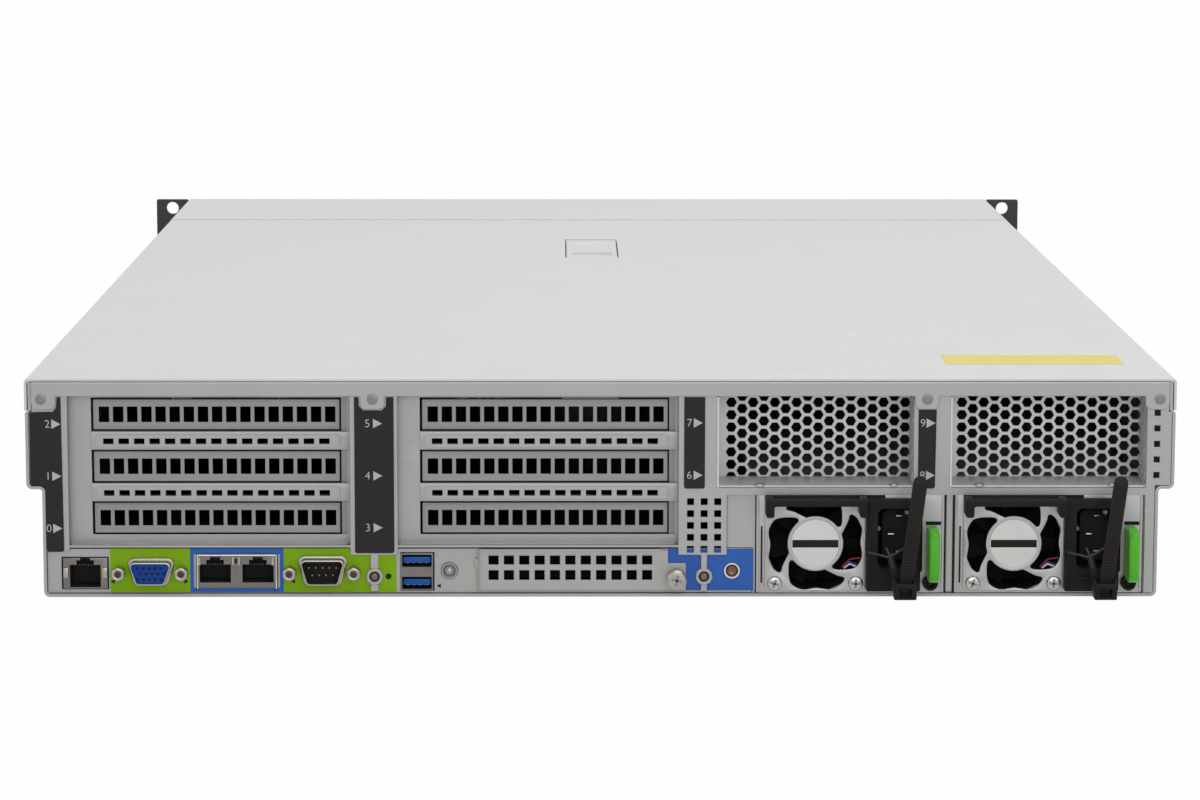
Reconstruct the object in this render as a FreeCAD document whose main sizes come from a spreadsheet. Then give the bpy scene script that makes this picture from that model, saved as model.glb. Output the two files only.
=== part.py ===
"""A two-unit rack server, as a parametric FreeCAD document.

The rear of the server faces -Y and its front +Y. +X is to the right when the rear is looked at,
and +Z is up. The origin is the middle of the underside. All sizes are in millimetres. Y places
are given from the rear plane, and put() moves them to the origin by half the depth.
"""
import FreeCAD, Part
import math
import os
import re

import Sketcher
from FreeCAD import Vector

# ----------------------------------------------------------------------------- driving sizes

SIZES = {
    # sheet metal
    "wall": 1.2,
    "cover_sheet": 1.0,
    "cover_gap": 0.4,
    "bend": 1.2,
    "seat_gap": 0.2,
    # the row of windows across the rear panel, from left to right
    "left_flange": 9.0,
    "riser_window": 109.3,
    "middle_strip": 19.6,
    "narrow_strip": 14.0,
    "vent_window": 76.7,
    "vent_strip": 14.1,
    "right_flange": 3.7,
    # sides and heights
    "rail_recess": 6.3,
    "step_height": 42.7,
    "skirt": 11.4,
    "slot_pitch": 20.32,
    "riser_base": 19.6,
    "head_room": 5.44,
    "rim_height": 5.8,
    "tab_drop": 4.8,
    "tab_width": 9.4,
    "psu_bar": 4.2,
    # zones along the depth
    "psu_length": 265.0,
    "cpu_zone": 215.0,
    "fan_depth": 38.0,
    "cable_zone": 42.0,
    "bay_length": 138.0,
    "seam_back": 110.0,
    "seam_gap": 0.5,
    # cover latch
    "latch_width": 25.4,
    "latch_length": 80.0,
    "latch_thick": 4.0,
    "latch_setback": 65.0,
    "tub_depth": 8.0,
    "tub_gap": 0.4,
    # expansion slot covers
    "cover_length": 95.0,
    "cover_height": 11.8,
    "bracket_thick": 0.9,
    "slot_hole_width": 3.9,
    "slot_hole_height": 6.1,
    "slot_hole_pitch": 5.55,
    "slot_hole_count": 17,
    "rib_hole_width": 4.0,
    "rib_hole_height": 1.8,
    "rib_hole_pitch": 6.0,
    "rib_hole_count": 15,
    "rib_height": 7.4,
    "rib_raise": 1.4,
    "riser_recess": 5.0,
    # honeycomb vents
    "vent_recess": 22.0,
    "hex_flats": 6.6,
    "hex_pitch": 8.0,
    "vent_sheet": 0.8,
    # port row
    "port_plate": 1.0,
    "port_plate_top": 19.0,
    "label_thick": 0.4,
    # power supplies
    "psu_width": 73.5,
    "psu_height": 39.0,
    "psu_gap": 4.0,
    "psu_edge": 0.9,
    "psu_clear": 0.4,
    "fan_offset": 13.7,
    "psu_fan_height": 21.2,
    "psu_fan_bore": 19.2,
    "psu_fan_depth": 28.0,
    "inlet_width": 15.6,
    "inlet_height": 23.8,
    "inlet_low": 11.8,
    "inlet_depth": 12.0,
    "inlet_stand": 4.0,
    "psu_hub": 10.4,
    "guard_thick": 1.0,
    "guard_ring": 10.9,
    # fan wall
    "fan_size": 80.0,
    "fan_pitch": 109.0,
    "fan_bore": 38.6,
    "fan_hub": 17.0,
    "blade_gap": 0.9,
    # boards
    "board_thick": 1.6,
    "board_rise": 2.0,
    # drive bays
    "carrier_pitch": 17.8,
    "carrier_width": 16.8,
    "carrier_height": 74.0,
    "bezel_depth": 9.0,
    "drive_length": 100.4,
    "drive_width": 15.0,
    "drive_margin": 4.1,
    "lever_thick": 5.0,
    "lever_margin": 12.0,
    "lever_pivot": 13.0,
    # rack ears
    "ear_gap": 0.1,
    "ear_margin": 8.85,
    "ear_thick": 3.0,
    "ear_lift": 0.6,
    "ear_pod": 16.0,
    "pod_low": 16.0,
    "pod_height": 54.0,
    "wing_length": 60.0,
    "wing_height": 34.0,
    "wing_thick": 1.6,
    "front_button_height": 50.0,
    "rack_hole": 3.4,
    "rack_hole_inset": 8.75,
    "rack_hole_rise": 76.2,
    "rack_hole_low": 5.0,
    "front_button": 3.0,
    "stud_radius": 3.0,
    "stud_length": 4.6,
}

# Formulas of the sizes above. bound() writes them out in terms of the sheet's cells.
DERIVED = {
    "span": "(left_flange + 2 * riser_window + middle_strip + narrow_strip + 2 * vent_window"
            " + vent_strip + right_flange)",
    "width": "(span + 2 * (wall + rail_recess))",
    "height": "(riser_base + 3 * slot_pitch + head_room)",
    "depth": "(psu_length + cpu_zone + fan_depth + cable_zone + 2 + bay_length)",
    "low_half": "(span / 2 + wall)",
    "up_half": "(width / 2 - 0.2)",
    "neck_half": "(width / 2 - cover_sheet - cover_gap)",
    "wall_top": "(height - cover_sheet - seat_gap)",
    "neck_low": "(height - skirt - 2)",
    "in_low": "(span / 2 - seat_gap)",
    "in_up": "(up_half - wall - seat_gap)",
    "in_neck": "(neck_half - wall - seat_gap)",
    "shelf_top": "(step_height + wall + seat_gap)",
    "rim_low": "(wall_top - rim_height)",
    "window_a": "(left_flange - span / 2)",
    "strip_b": "(window_a + riser_window)",
    "window_b": "(strip_b + middle_strip)",
    "strip_c": "(window_b + riser_window)",
    "vent_a": "(strip_c + narrow_strip)",
    "strip_d": "(vent_a + vent_window)",
    "vent_b": "(strip_d + vent_strip)",
    "vent_end": "(vent_b + vent_window)",
    "psu_low": "(wall + seat_gap)",
    "psu_top": "(psu_low + psu_height)",
    "bar_low": "(psu_top + psu_clear)",
    "vent_low": "(bar_low + psu_bar)",
    "psu_b": "(vent_end - psu_edge - psu_width / 2)",
    "psu_a": "(psu_b - psu_width - psu_gap)",
    "psu_left": "(psu_a - psu_width / 2)",
    "grid_end": "(strip_c + 18.1)",
    "fan_row": "(psu_length + cpu_zone)",
    "latch_from_rear": "(fan_row - latch_setback)",
    "drive_height": "(carrier_height - drive_margin)",
    "lever_length": "(carrier_height - lever_margin)",
    "backplane": "(fan_row + fan_depth + cable_zone)",
    "seam": "(depth - seam_back)",
    "board_low": "(wall + board_rise)",
    "board_top": "(board_low + board_thick)",
    "bay_end": "(span / 2 - 6)",
    "bay_start": "(bay_end - 8 * carrier_pitch)",
    "slot_low": "(riser_base + 11.6)",
    "duct_top": "(height - tub_depth - cover_sheet - 1)",
    "ear_edge": "(width / 2 + ear_gap)",
    "ear_reach": "(rack_hole_inset + ear_margin)",
    "rack_hole_spread": "(2 * (ear_edge + rack_hole_inset))",
}

doc = FreeCAD.newDocument("RackServer")
sheet = doc.addObject("Spreadsheet::Sheet", "Sizes")
for row, (alias, size) in enumerate(SIZES.items(), start=1):
    sheet.set("A%d" % row, alias)
    sheet.set("B%d" % row, str(size))
    sheet.setAlias("B%d" % row, alias)
doc.recompute()

# ----------------------------------------------------------------------------- helpers

NODES = {}


def bound(formula):
    """The formula with derived names written out and every size pointing at its sheet cell."""
    def swap(match):
        word = match.group(0)
        if word in DERIVED:
            return bound(DERIVED[word])
        return "Sizes." + word if word in SIZES else word
    return re.sub(r"[a-z][a-z_]*", swap, str(formula))


def number(formula):
    """The formula's present value."""
    return float(sheet.evalExpression(bound(formula)))


def bind(thing, **properties):
    """Tie properties of a document object to formulas."""
    for name, formula in properties.items():
        thing.setExpression(name, bound(formula))
    return thing


def put(thing, x=0, y=0, z=0):
    """Place an object, with y counted from the rear plane."""
    for axis, formula in (("x", x), ("y", "%s - depth / 2" % y), ("z", z)):
        thing.setExpression("Placement.Base." + axis, bound(formula))
    return thing


def node(label, thing):
    """Name the object as a sub-part, which is written to a file of its own."""
    thing.Label = label
    NODES[label] = thing
    return thing


def group(label, pieces):
    """Several separate solids that share one sub-part."""
    together = doc.addObject("Part::Compound", label)
    together.Links = pieces
    return node(label, together)


def box(x, y, z, dx, dy, dz, name="Block"):
    """A block with its low corner at x, y, z."""
    return put(bind(doc.addObject("Part::Box", name), Length=dx, Width=dy, Height=dz), x, y, z)


TURNS = {"x": (Vector(0, 1, 0), 90), "y": (Vector(1, 0, 0), -90), "z": (Vector(0, 0, 1), 0)}


def rod(x, y, z, radius, length, along="y", name="Rod"):
    """A cylinder that starts at x, y, z and runs along +X, +Y or +Z."""
    thing = bind(doc.addObject("Part::Cylinder", name), Radius=radius, Height=length)
    thing.Placement.Rotation = FreeCAD.Rotation(*TURNS[along])
    return put(thing, x, y, z)


def post(x, y, z, across, length, sides=6, along="y", name="Post"):
    """A straight post with flat sides, across wide from corner to corner, for small round pieces."""
    thing = bind(doc.addObject("Part::Prism", name), Height=length, Circumradius="(%s) / 2" % across)
    thing.Polygon = sides
    thing.Placement.Rotation = FreeCAD.Rotation(*TURNS[along])
    return put(thing, x, y, z)


def fuse(pieces, name="Joined"):
    """One solid made of touching pieces."""
    whole = doc.addObject("Part::MultiFuse", name)
    whole.Shapes = pieces
    whole.Refine = True
    return whole


def cut(base, tools, name="Cut"):
    """The base without the tools."""
    result = doc.addObject("Part::Cut", name)
    result.Base = base
    result.Tool = tools[0] if len(tools) == 1 else fuse(tools)
    return result


def plane(body, role):
    """One of a body's own origin planes."""
    return next(face for face in body.Origin.OriginFeatures if face.Role == role)


def outline(body, role, loops):
    """A sketch on an origin plane. A loop is a list of corners, or (x, y, radius) for a circle."""
    sketch = body.newObject("Sketcher::SketchObject", "Outline")
    sketch.AttachmentSupport = [(plane(body, role), "")]
    sketch.MapMode = "FlatFace"

    def fix(kind, *terms):
        index = sketch.addConstraint(Sketcher.Constraint(kind, *terms[:-1], number(terms[-1])))
        sketch.setExpression("Constraints[%d]" % index, bound(terms[-1]))

    for loop in loops:
        first = sketch.GeometryCount
        if isinstance(loop, tuple):
            x, y, radius = loop
            centre = Vector(number(x), number(y), 0)
            sketch.addGeometry(Part.Circle(centre, Vector(0, 0, 1), number(radius)), False)
            fix("Radius", first, radius)
            fix("DistanceX", -1, 1, first, 3, x)
            fix("DistanceY", -1, 1, first, 3, y)
            continue
        places = [Vector(number(x), number(y), 0) for x, y in loop]
        count = len(loop)
        for i, start in enumerate(places):
            sketch.addGeometry(Part.LineSegment(start, places[(i + 1) % count]), False)
        for i, (x, y) in enumerate(loop):
            end = first + (i + 1) % count
            sketch.addConstraint(Sketcher.Constraint("Coincident", first + i, 2, end, 1))
            fix("DistanceX", -1, 1, first + i, 1, x)
            fix("DistanceY", -1, 1, first + i, 1, y)
    return sketch


def rect(x, y, dx, dy):
    """A rectangle's corners from its low corner and its two sides."""
    right = "(%s) + (%s)" % (x, dx)
    top = "(%s) + (%s)" % (y, dy)
    return [(x, y), (right, y), (right, top), (x, top)]


def mirrored(path):
    """The corners of a half outline, followed by their mirror images across the middle."""
    return path + [("-(%s)" % x, y) for x, y in reversed(path)]


def pad(name, role, loops, length, onward=True):
    """A body made by padding a sketch. onward pads towards +X, +Y or +Z."""
    body = doc.addObject("PartDesign::Body", name)
    feature = body.newObject("PartDesign::Pad", "Pad")
    feature.Profile = outline(body, role, loops)
    feature.Reversed = onward if role == "XZ_Plane" else not onward
    bind(feature, Length=length)
    return body


def drill(body, role, loops, name="Holes"):
    """A pocket right through the body."""
    feature = body.newObject("PartDesign::Pocket", name)
    feature.Profile = outline(body, role, loops)
    feature.Type = "ThroughAll"
    feature.Midplane = True
    return feature


def repeat(body, feature, steps):
    """Repeat a feature in rows. Each step is (sketch axis, count, pitch)."""
    rows = []
    many = body.newObject("PartDesign::MultiTransform", "Grid")
    many.Originals = [feature]
    for axis, count, pitch in steps:
        row = body.newObject("PartDesign::LinearPattern", "Row")
        row.Direction = (feature.Profile[0], [axis])
        bind(row, Length="(%s - 1) * (%s)" % (count, pitch), Occurrences=count)
        rows.append(row)
    many.Transformations = rows
    body.Tip = many
    return many


def round_edges(body, feature, radius, chosen):
    """Fillet the edges of a feature for which chosen(edge) is true."""
    doc.recompute()
    names = ["Edge%d" % (i + 1) for i, edge in enumerate(feature.Shape.Edges) if chosen(edge)]
    fillet = body.newObject("PartDesign::Fillet", "Round")
    fillet.Base = (feature, names)
    bind(fillet, Radius=radius)
    body.Tip = fillet
    return fillet


def along(edge, axis):
    """True for a straight edge that runs along the given axis."""
    if edge.Curve.TypeId != "Part::GeomLine":
        return False
    return abs(edge.Curve.Direction.dot(axis)) > 0.999


def solid(label, shape, x=0, y=0, z=0):
    """A sub-part whose shape is worked out by Part's own functions."""
    thing = doc.addObject("Part::Feature", label)
    thing.Shape = shape
    return put(thing, x, y, z)


def flat_face(path):
    """A face in the XZ plane. A path holds points, and ("arc", middle, end) for a round stretch."""
    edges = []
    here = Vector(path[0][0], 0, path[0][1])
    start = here
    for step in path[1:]:
        if step[0] == "arc":
            middle = Vector(step[1][0], 0, step[1][1])
            there = Vector(step[2][0], 0, step[2][1])
            edges.append(Part.Arc(here, middle, there).toShape())
        else:
            there = Vector(step[0], 0, step[1])
            edges.append(Part.LineSegment(here, there).toShape())
        here = there
    if here.distanceToPoint(start) > 1e-6:
        edges.append(Part.LineSegment(here, start).toShape())
    return Part.Face(Part.Wire(edges))


# ----------------------------------------------------------------------------- chassis and covers

def chassis_tray():
    """The folded tray: floor, rail recesses, upper walls and the necks that the cover slides on."""
    half = [
        ("low_half", "0"), ("low_half", "step_height"), ("up_half", "step_height"),
        ("up_half", "neck_low"), ("neck_half", "neck_low + 1.4"), ("neck_half", "wall_top"),
        ("neck_half - wall", "wall_top"), ("neck_half - wall", "neck_low + 1.4"),
        ("up_half - wall", "neck_low"), ("up_half - wall", "step_height + wall"),
        ("low_half - wall", "step_height + wall"), ("low_half - wall", "wall"),
    ]
    body = pad("Tray", "XZ_Plane", [mirrored(half)], "depth - 2")
    floor, step = number("wall"), number("step_height")
    below = number("neck_low") - 1

    def fold(edge, hollow):
        """True for an inner corner of a bend if hollow, or for an outer one if not."""
        spot = edge.CenterOfMass
        if not along(edge, Vector(0, 1, 0)) or spot.z > below:
            return False
        low = abs(spot.x) < number("low_half") + 0.1
        heights = (floor, step) if low else (step + floor,)
        return any(abs(spot.z - height) < 0.1 for height in heights) == hollow

    first = round_edges(body, body.Tip, "bend", lambda edge: fold(edge, True))
    round_edges(body, first, "bend + wall", lambda edge: fold(edge, False))
    put(body)
    return node("chassis_tray", body)


def cover_profile():
    """A shallow channel: the top sheet with a skirt down each side."""
    half = [
        ("width / 2", "height - skirt - 1"), ("width / 2", "height"),
    ]
    inner = [
        ("width / 2 - cover_sheet", "height - cover_sheet"),
        ("width / 2 - cover_sheet", "height - skirt - 1"),
    ]
    left_outer = [("-(%s)" % x, y) for x, y in reversed(half)]
    left_inner = [("-(%s)" % x, y) for x, y in reversed(inner)]
    return half + left_outer + left_inner + inner


def cover_bends(body):
    """Round the two long folds of a cover, inside and out."""
    top = number("height")

    def outside(edge):
        return along(edge, Vector(0, 1, 0)) and abs(edge.CenterOfMass.z - top) < 0.01

    round_edges(body, body.Tip, "cover_sheet * 1.2", outside)


def covers():
    """The fixed front cover, and the rear cover with the tub that its latch lies in."""
    front = pad("FrontCover", "XZ_Plane", [cover_profile()], "seam_back - seam_gap")
    cover_bends(front)
    put(front, y="seam + seam_gap")
    node("front_cover", front)

    rear = pad("RearCover", "XZ_Plane", [cover_profile()], "seam")
    cover_bends(rear)
    put(rear)
    long_side = "latch_length + 2 * tub_gap"
    short_side = "latch_width + 2 * tub_gap"
    corner = "-(%s) / 2" % short_side
    hole = box(corner, "latch_from_rear", "height - tub_depth", short_side, long_side, "tub_depth + 1")
    shell = box("%s - cover_sheet" % corner, "latch_from_rear - cover_sheet",
                "height - tub_depth - cover_sheet",
                short_side + " + 2 * cover_sheet", long_side + " + 2 * cover_sheet",
                "tub_depth + cover_sheet / 2")
    node("top_cover", cut(fuse([rear, shell]), [hole], "TopCover"))


def cover_latch():
    """The latch: a flat lever with a round knuckle on its pin at the front end of the tub."""
    length, thick = number("latch_length"), number("latch_thick")
    radius = thick / 2 + 0.8
    path = [
        (0.0, radius), (length - radius, radius),
        ("arc", (length, 0.0), (length - radius, -radius)),
        ("arc", (length - 2 * radius, -radius * 0.2), (length - 2.4 * radius, radius - thick)),
        (6.0, radius - thick), ("arc", (1.6, radius - thick * 0.75), (0.0, radius - 1.6)),
    ]
    face = flat_face(path)
    side = face.extrude(Vector(0, number("latch_width"), 0))
    side.rotate(Vector(0, 0, 0), Vector(0, 0, 1), 90)
    grip = Part.makeBox(number("latch_width") - 6, 14, 2, Vector(-number("latch_width") + 3, 8, radius - 1.2))
    shape = side.cut(grip)
    lever = solid("CoverLatch", shape, "latch_width / 2", "latch_from_rear + tub_gap",
                  "height - %g" % (radius + 0.3))
    node("cover_latch", lever)


# ----------------------------------------------------------------------------- rear panels

def rear_panel():
    """The upright rear panel with its six windows, the captive-screw tabs and the vent grid."""
    path = [
        ("-in_low", "port_plate_top - 1"), ("-in_low", "shelf_top"), ("-in_up", "shelf_top"),
        ("-in_up", "neck_low - 0.4"), ("-in_neck", "neck_low + 1"), ("-in_neck", "wall_top - wall - 0.1"),
        ("in_neck", "wall_top - wall - 0.1"), ("in_neck", "neck_low + 1"), ("in_up", "neck_low - 0.4"),
        ("in_up", "shelf_top"), ("in_low", "shelf_top"), ("in_low", "wall + seat_gap"),
        ("vent_end - 0.2", "wall + seat_gap"), ("vent_end - 0.2", "bar_low"),
        ("grid_end", "bar_low"), ("grid_end", "port_plate_top - 2.4"),
        ("strip_c + 10.4", "port_plate_top - 2.4"), ("strip_c + 10.4", "2.2"),
        ("strip_c + 8.1", "2.2"), ("strip_c + 8.1", "port_plate_top - 2.4"),
        ("strip_c - 0.4", "port_plate_top - 2.4"), ("strip_c - 0.4", "riser_base"),
        ("window_b", "riser_base"), ("window_b", "port_plate_top - 2.4"),
        ("strip_b + 11", "port_plate_top - 2.4"), ("strip_b + 11", "2.2"),
        ("strip_b + 8", "2.2"), ("strip_b + 8", "port_plate_top - 2.4"),
        ("strip_b", "port_plate_top - 2.4"), ("strip_b", "riser_base"),
        ("window_a", "riser_base"), ("window_a", "port_plate_top - 1"),
    ]
    windows = [
        rect("window_a", "riser_base + 0.8", "riser_window", "rim_low - riser_base - 0.8"),
        rect("window_b", "riser_base + 0.8", "riser_window", "rim_low - riser_base - 0.8"),
        rect("vent_a", "vent_low", "vent_window", "rim_low - vent_low"),
        rect("vent_b", "vent_low", "vent_window", "rim_low - vent_low"),
    ]
    body = pad("RearPanel", "XZ_Plane", [path] + windows, "wall")
    hole = drill(body, "XZ_Plane", [rect("strip_c + 2.65", "port_plate_top - 1.8", "2.7", "2.7")])
    repeat(body, hole, [("H_Axis", "3", "5.5"), ("V_Axis", "5", "4.65")])
    put(body)
    rings = [post(x, "0", "8", "6.6", "wall", 16) for x in ("strip_b + 9.5", "strip_c + 9.25")]
    node("rear_panel", fuse([body] + rings, "RearPanelWhole"))


TABS = ("-in_neck + tab_width / 2", "strip_b + 9.1", "strip_d + 4.9", "in_neck - tab_width / 2")


def rear_beam():
    """The folded beam across the top of the rear panel, and the four riveted tabs below its edge."""
    beam = pad("Beam", "YZ_Plane", [[
        ("-wall", "rim_low"), ("-wall", "wall_top"), ("12", "wall_top"), ("12", "wall_top - wall"),
        ("0", "wall_top - wall"), ("0", "rim_low"),
    ]], "2 * in_neck")
    tabs = [put(beam, x="-in_neck")]
    for x in TABS:
        tab = pad("Tab", "XZ_Plane", [rect("-tab_width / 2", "rim_low - tab_drop", "tab_width", "tab_drop")],
                  "wall")

        def lower(edge):
            return along(edge, Vector(0, 1, 0)) and edge.CenterOfMass.z < number("rim_low") - 1

        round_edges(tab, tab.Tip, "tab_width / 4", lower)
        tabs.append(put(tab, x, "-wall"))
    group("rear_beam", tabs)


def riser_cages():
    """Both riser cages. The rib slots are cut by one comb each, and the wall carries the riser board."""
    made = []
    for start, wall_x in (("window_a", "riser_window - 1"), ("window_b", "riser_window - 1")):
        thick, raise_by = number("wall"), number("rib_raise")
        wide, tall = number("riser_window") + 1.2, number("wall_top - riser_base") - 2
        plate = Part.makeBox(wide, thick, tall, Vector(-0.6, 0, 0))
        holes = []
        first = number("slot_low - riser_base")
        pitch = number("slot_pitch")
        open_wide, open_tall = number("cover_length") - 1.8, number("cover_height") - 1.8
        for slot in range(3):
            low = first + slot * pitch - open_tall / 2
            holes.append(Part.makeBox(open_wide, thick + 2, open_tall, Vector(11.6, -1, low)))
        for gap in (0.5, 1.5):
            middle = first + gap * pitch
            rib_tall = number("rib_height")
            rib = Part.makeBox(open_wide + 2.6, raise_by, rib_tall,
                               Vector(10.4, -raise_by, middle - rib_tall / 2))
            plate = plate.fuse(rib)
        side = Part.makeBox(thick, 170, tall, Vector(number(wall_x), 0, 0))
        shape = plate.fuse(side).cut(Part.makeCompound(holes)).removeSplitter()
        made.append(solid("RiserCage", shape, start, "riser_recess", "riser_base"))
    group("riser_cages", made)


def slot_covers():
    """Six slot covers, each with a row of seventeen openings."""
    made = []
    for start in ("window_a", "window_b"):
        for slot in range(3):
            cover = pad("SlotCover", "XZ_Plane",
                        [rect("0", "0", "cover_length", "cover_height")], "bracket_thick")
            hole = drill(cover, "XZ_Plane", [rect("1.1", "(cover_height - slot_hole_height) / 2",
                                                  "slot_hole_width", "slot_hole_height")])
            repeat(cover, hole, [("H_Axis", "slot_hole_count", "slot_hole_pitch")])
            made.append(put(cover, start + " + 10.7", "riser_recess - bracket_thick",
                            "slot_low - cover_height / 2 + %d * slot_pitch" % slot))
    group("slot_covers", made)


def honeycomb(wide, tall, flats, pitch):
    """Hexagons, with points to the left and right, that fill a rectangle in staggered columns."""
    column = pitch * math.sqrt(3) / 2
    reach = flats / math.sqrt(3)
    wires = []
    columns = int((wide - 2 * reach - 1.4) / column) + 1
    start = (wide - (columns - 1) * column) / 2
    for i in range(columns):
        shift = pitch / 2 if i % 2 else 0
        rows = int((tall - flats - 1.4 - shift) / pitch) + 1
        for j in range(rows):
            x = start + i * column
            z = 0.7 + flats / 2 + shift + j * pitch
            corners = [Vector(x + reach * math.cos(math.radians(60 * k)), 0,
                              z + reach * math.sin(math.radians(60 * k))) for k in range(7)]
            wires.append(Part.makePolygon(corners))
    return wires


def vent_frames():
    """Two deep-set honeycomb vents: a perforated back sheet and the four walls folded round it."""
    made = []
    tall = "(wall_top - wall - vent_low - 1.1)"
    for start in ("vent_a", "vent_b"):
        wide, high = number("vent_window"), number(tall)
        border = Part.makePolygon([Vector(0, 0, 0), Vector(wide, 0, 0), Vector(wide, 0, high),
                                   Vector(0, 0, high), Vector(0, 0, 0)])
        holes = honeycomb(wide, high, number("hex_flats"), number("hex_pitch"))
        mesh = Part.makeFace([border] + holes, "Part::FaceMakerBullseye")
        made.append(solid("VentSheet", mesh.extrude(Vector(0, number("vent_sheet"), 0)), start,
                          "wall + vent_recess", "vent_low + 0.9"))
        for x in (start + " - vent_sheet", start + " + vent_window"):
            made.append(box(x, "wall", "vent_low + 0.9", "vent_sheet", "vent_recess + vent_sheet", tall,
                            "VentSide"))
        made.append(box(start + " - vent_sheet", "wall", "vent_low + 0.9 - vent_sheet",
                        "vent_window + 2 * vent_sheet", "vent_recess + vent_sheet", "vent_sheet", "VentFloor"))
    group("vent_frames", made)


def label_strips():
    """The four dark number strips on the panel, the first one stepped like the wall beside it."""
    thick = "label_thick"
    first = pad("StripOne", "XZ_Plane", [[
        ("-in_up + 0.3", "neck_low - 0.4"), ("-in_up + 0.3", "shelf_top"),
        ("-in_low + 0.3", "shelf_top - 1"), ("-in_low + 0.3", "port_plate_top - 1"),
        ("window_a - 2.2", "port_plate_top - 1"), ("window_a - 2.2", "rim_low"),
        ("-in_neck + tab_width + 0.4", "rim_low"), ("-in_neck + tab_width + 0.4", "neck_low - 0.4"),
    ]], thick)
    second = pad("StripTwo", "XZ_Plane", [rect("strip_b + 1.9", "port_plate_top - 2.4", "15.6",
                                               "rim_low - port_plate_top + 2.2")], thick)
    third = pad("StripThree", "XZ_Plane", [rect("strip_c + 1.1", "vent_low - 3", "8.2",
                                                "rim_low - vent_low + 2.8")], thick)
    fourth = pad("StripFour", "XZ_Plane", [rect("strip_d + 1.6", "vent_low - 2.2", "6.2",
                                                "rim_low - tab_drop - vent_low + 2")], thick)
    strips = [put(strip, y="-label_thick") for strip in (first, second, third, fourth)]
    strips[1] = cut(strips[1], [box("strip_b + 9.1 - tab_width / 2 - 0.3", "-label_thick - 1",
                                    "rim_low - tab_drop - 0.3", "tab_width + 0.6", "3", "9")])
    group("label_strips", strips)


# ----------------------------------------------------------------------------- port row

# Each port's left edge from the tray's inner wall, its low edge, width and height.
PORTS = {
    "network_a": (5.8, 2.9, 18.2, 13.2),
    "display": (31.8, 5.0, 17.4, 9.8),
    "network_b": (58.4, 3.4, 31.4, 13.4),
    "serial": (98.4, 4.8, 18.4, 11.0),
    "usb": (138.2, 2.4, 12.8, 14.8),
}
JACKS = (28.1, 52.6, 94.7, 119.8)
UID_X, POWER_X = "157.1 - span / 2", "267.4 - span / 2"
BUTTON_Z = "10.2"


def port_plate():
    """The port plate with its openings, set just behind the panel so that the tabs hang over it."""
    right = "psu_left - 1.6"
    left = "-in_low"
    openings = []
    for x, z, wide, tall in PORTS.values():
        openings.append(rect("%g - span / 2" % (x - 0.2), z - 0.2, wide + 0.4, tall + 0.4))
    openings.append(rect("170 - span / 2", 4, 69, 12))
    body = pad("PortPlate", "XZ_Plane", [
        rect(left, "wall + seat_gap", "%s - (%s)" % (right, left), "port_plate_top - wall - seat_gap"),
    ] + openings, "port_plate")
    put(body, y="wall + 0.2")
    bores = [post(UID_X, "0", BUTTON_Z, "4.9", "4", 16), post(POWER_X, "0", BUTTON_Z, "5.3", "4", 16)]
    node("io_plate", cut(body, bores, "PortPlateWhole"))


def d_shell(name, x, z, wide, tall, depth, wall):
    """A D-shaped shell that stands out of the panel: the upper edge is the wider one."""
    slope = 1.9

    def ring(inset):
        return [("%g" % inset, "%g" % (tall - inset)), ("%g" % (wide - inset), "%g" % (tall - inset)),
                ("%g" % (wide - slope - inset * 0.8), "%g" % inset), ("%g" % (slope + inset * 0.8), "%g" % inset)]

    body = pad(name, "XZ_Plane", [ring(0), ring(wall)], depth)
    return put(body, "%g - span / 2" % x, "-4.6", z)


def port_shells():
    """The metal housings of the ports, and the hexagonal jack posts beside the D-shaped ones."""
    made = []
    x, z, wide, tall = PORTS["network_a"]
    left = "%g - span / 2" % x
    jack = cut(box(left, "0.9", z, wide, "20", tall), [
        box("%s + 3.2" % left, "0", z + 3.2, "11.8", "14", "8.2"),
        box("%s + 6.2" % left, "0", z + 1.2, "5.8", "14", "3")], "JackShell")
    made.append(jack)
    x, z, wide, tall = PORTS["network_b"]
    left = "%g - span / 2" % x
    tools = []
    for offset in (1.5, 17.4):
        tools.append(box("%s + %g" % (left, offset), "0", z + 2.2, "12.4", "14", "7.4"))
        tools.append(box("%s + %g" % (left, offset + 3.2), "0", z + 9, "6", "14", "3"))
    made.append(cut(box(left, "0.9", z, wide, "20", tall), tools, "TwinJackShell"))
    x, z, wide, tall = PORTS["usb"]
    left = "%g - span / 2" % x
    made.append(cut(box(left, "0.6", z, wide, "19", tall), [
        box("%s + 0.5" % left, "0", z + 0.5, wide - 1, "11", "5"),
        box("%s + 0.5" % left, "0", z + 9.3, wide - 1, "11", "5")], "UsbShell"))
    for name, key in (("DisplayShell", "display"), ("SerialShell", "serial")):
        x, z, wide, tall = PORTS[key]
        made.append(d_shell(name, x, z, wide, tall, "9", 0.6))
    node("serial_shell", made.pop())
    for x in JACKS:
        nut = post("%g - span / 2" % x, "-4.6", "9.7", "5.8", "5.9")
        bore = post("%g - span / 2" % x, "-5", "9.7", "2.8", "5", 8)
        made.append(cut(nut, [bore], "JackPost"))
    group("port_shells", made)


def port_inserts():
    """The plastic cores inside the ports: the display and serial blocks and the two USB tongues."""
    made = []
    for key, depth in (("display", 6.4), ("serial", 3.0)):
        x, z, wide, tall = PORTS[key]
        slope = 1.9
        inset = 0.8
        path = [(inset, tall - inset), (wide - inset, tall - inset),
                (wide - slope - inset * 0.8, inset), (slope + inset * 0.8, inset)]
        corners = [("%g" % px, "%g" % pz) for px, pz in path]
        block = pad("Core", "XZ_Plane", [corners], depth)
        made.append(put(block, "%g - span / 2" % x, 4.2 - depth, z))
    x, z, wide, tall = PORTS["usb"]
    for low in (3.2, 12.0):
        made.append(box("%g - span / 2" % (x + 1.6), "2", z + low, wide - 3.2, "9", "1.9", "Tongue"))
    group("port_inserts", made)


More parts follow.
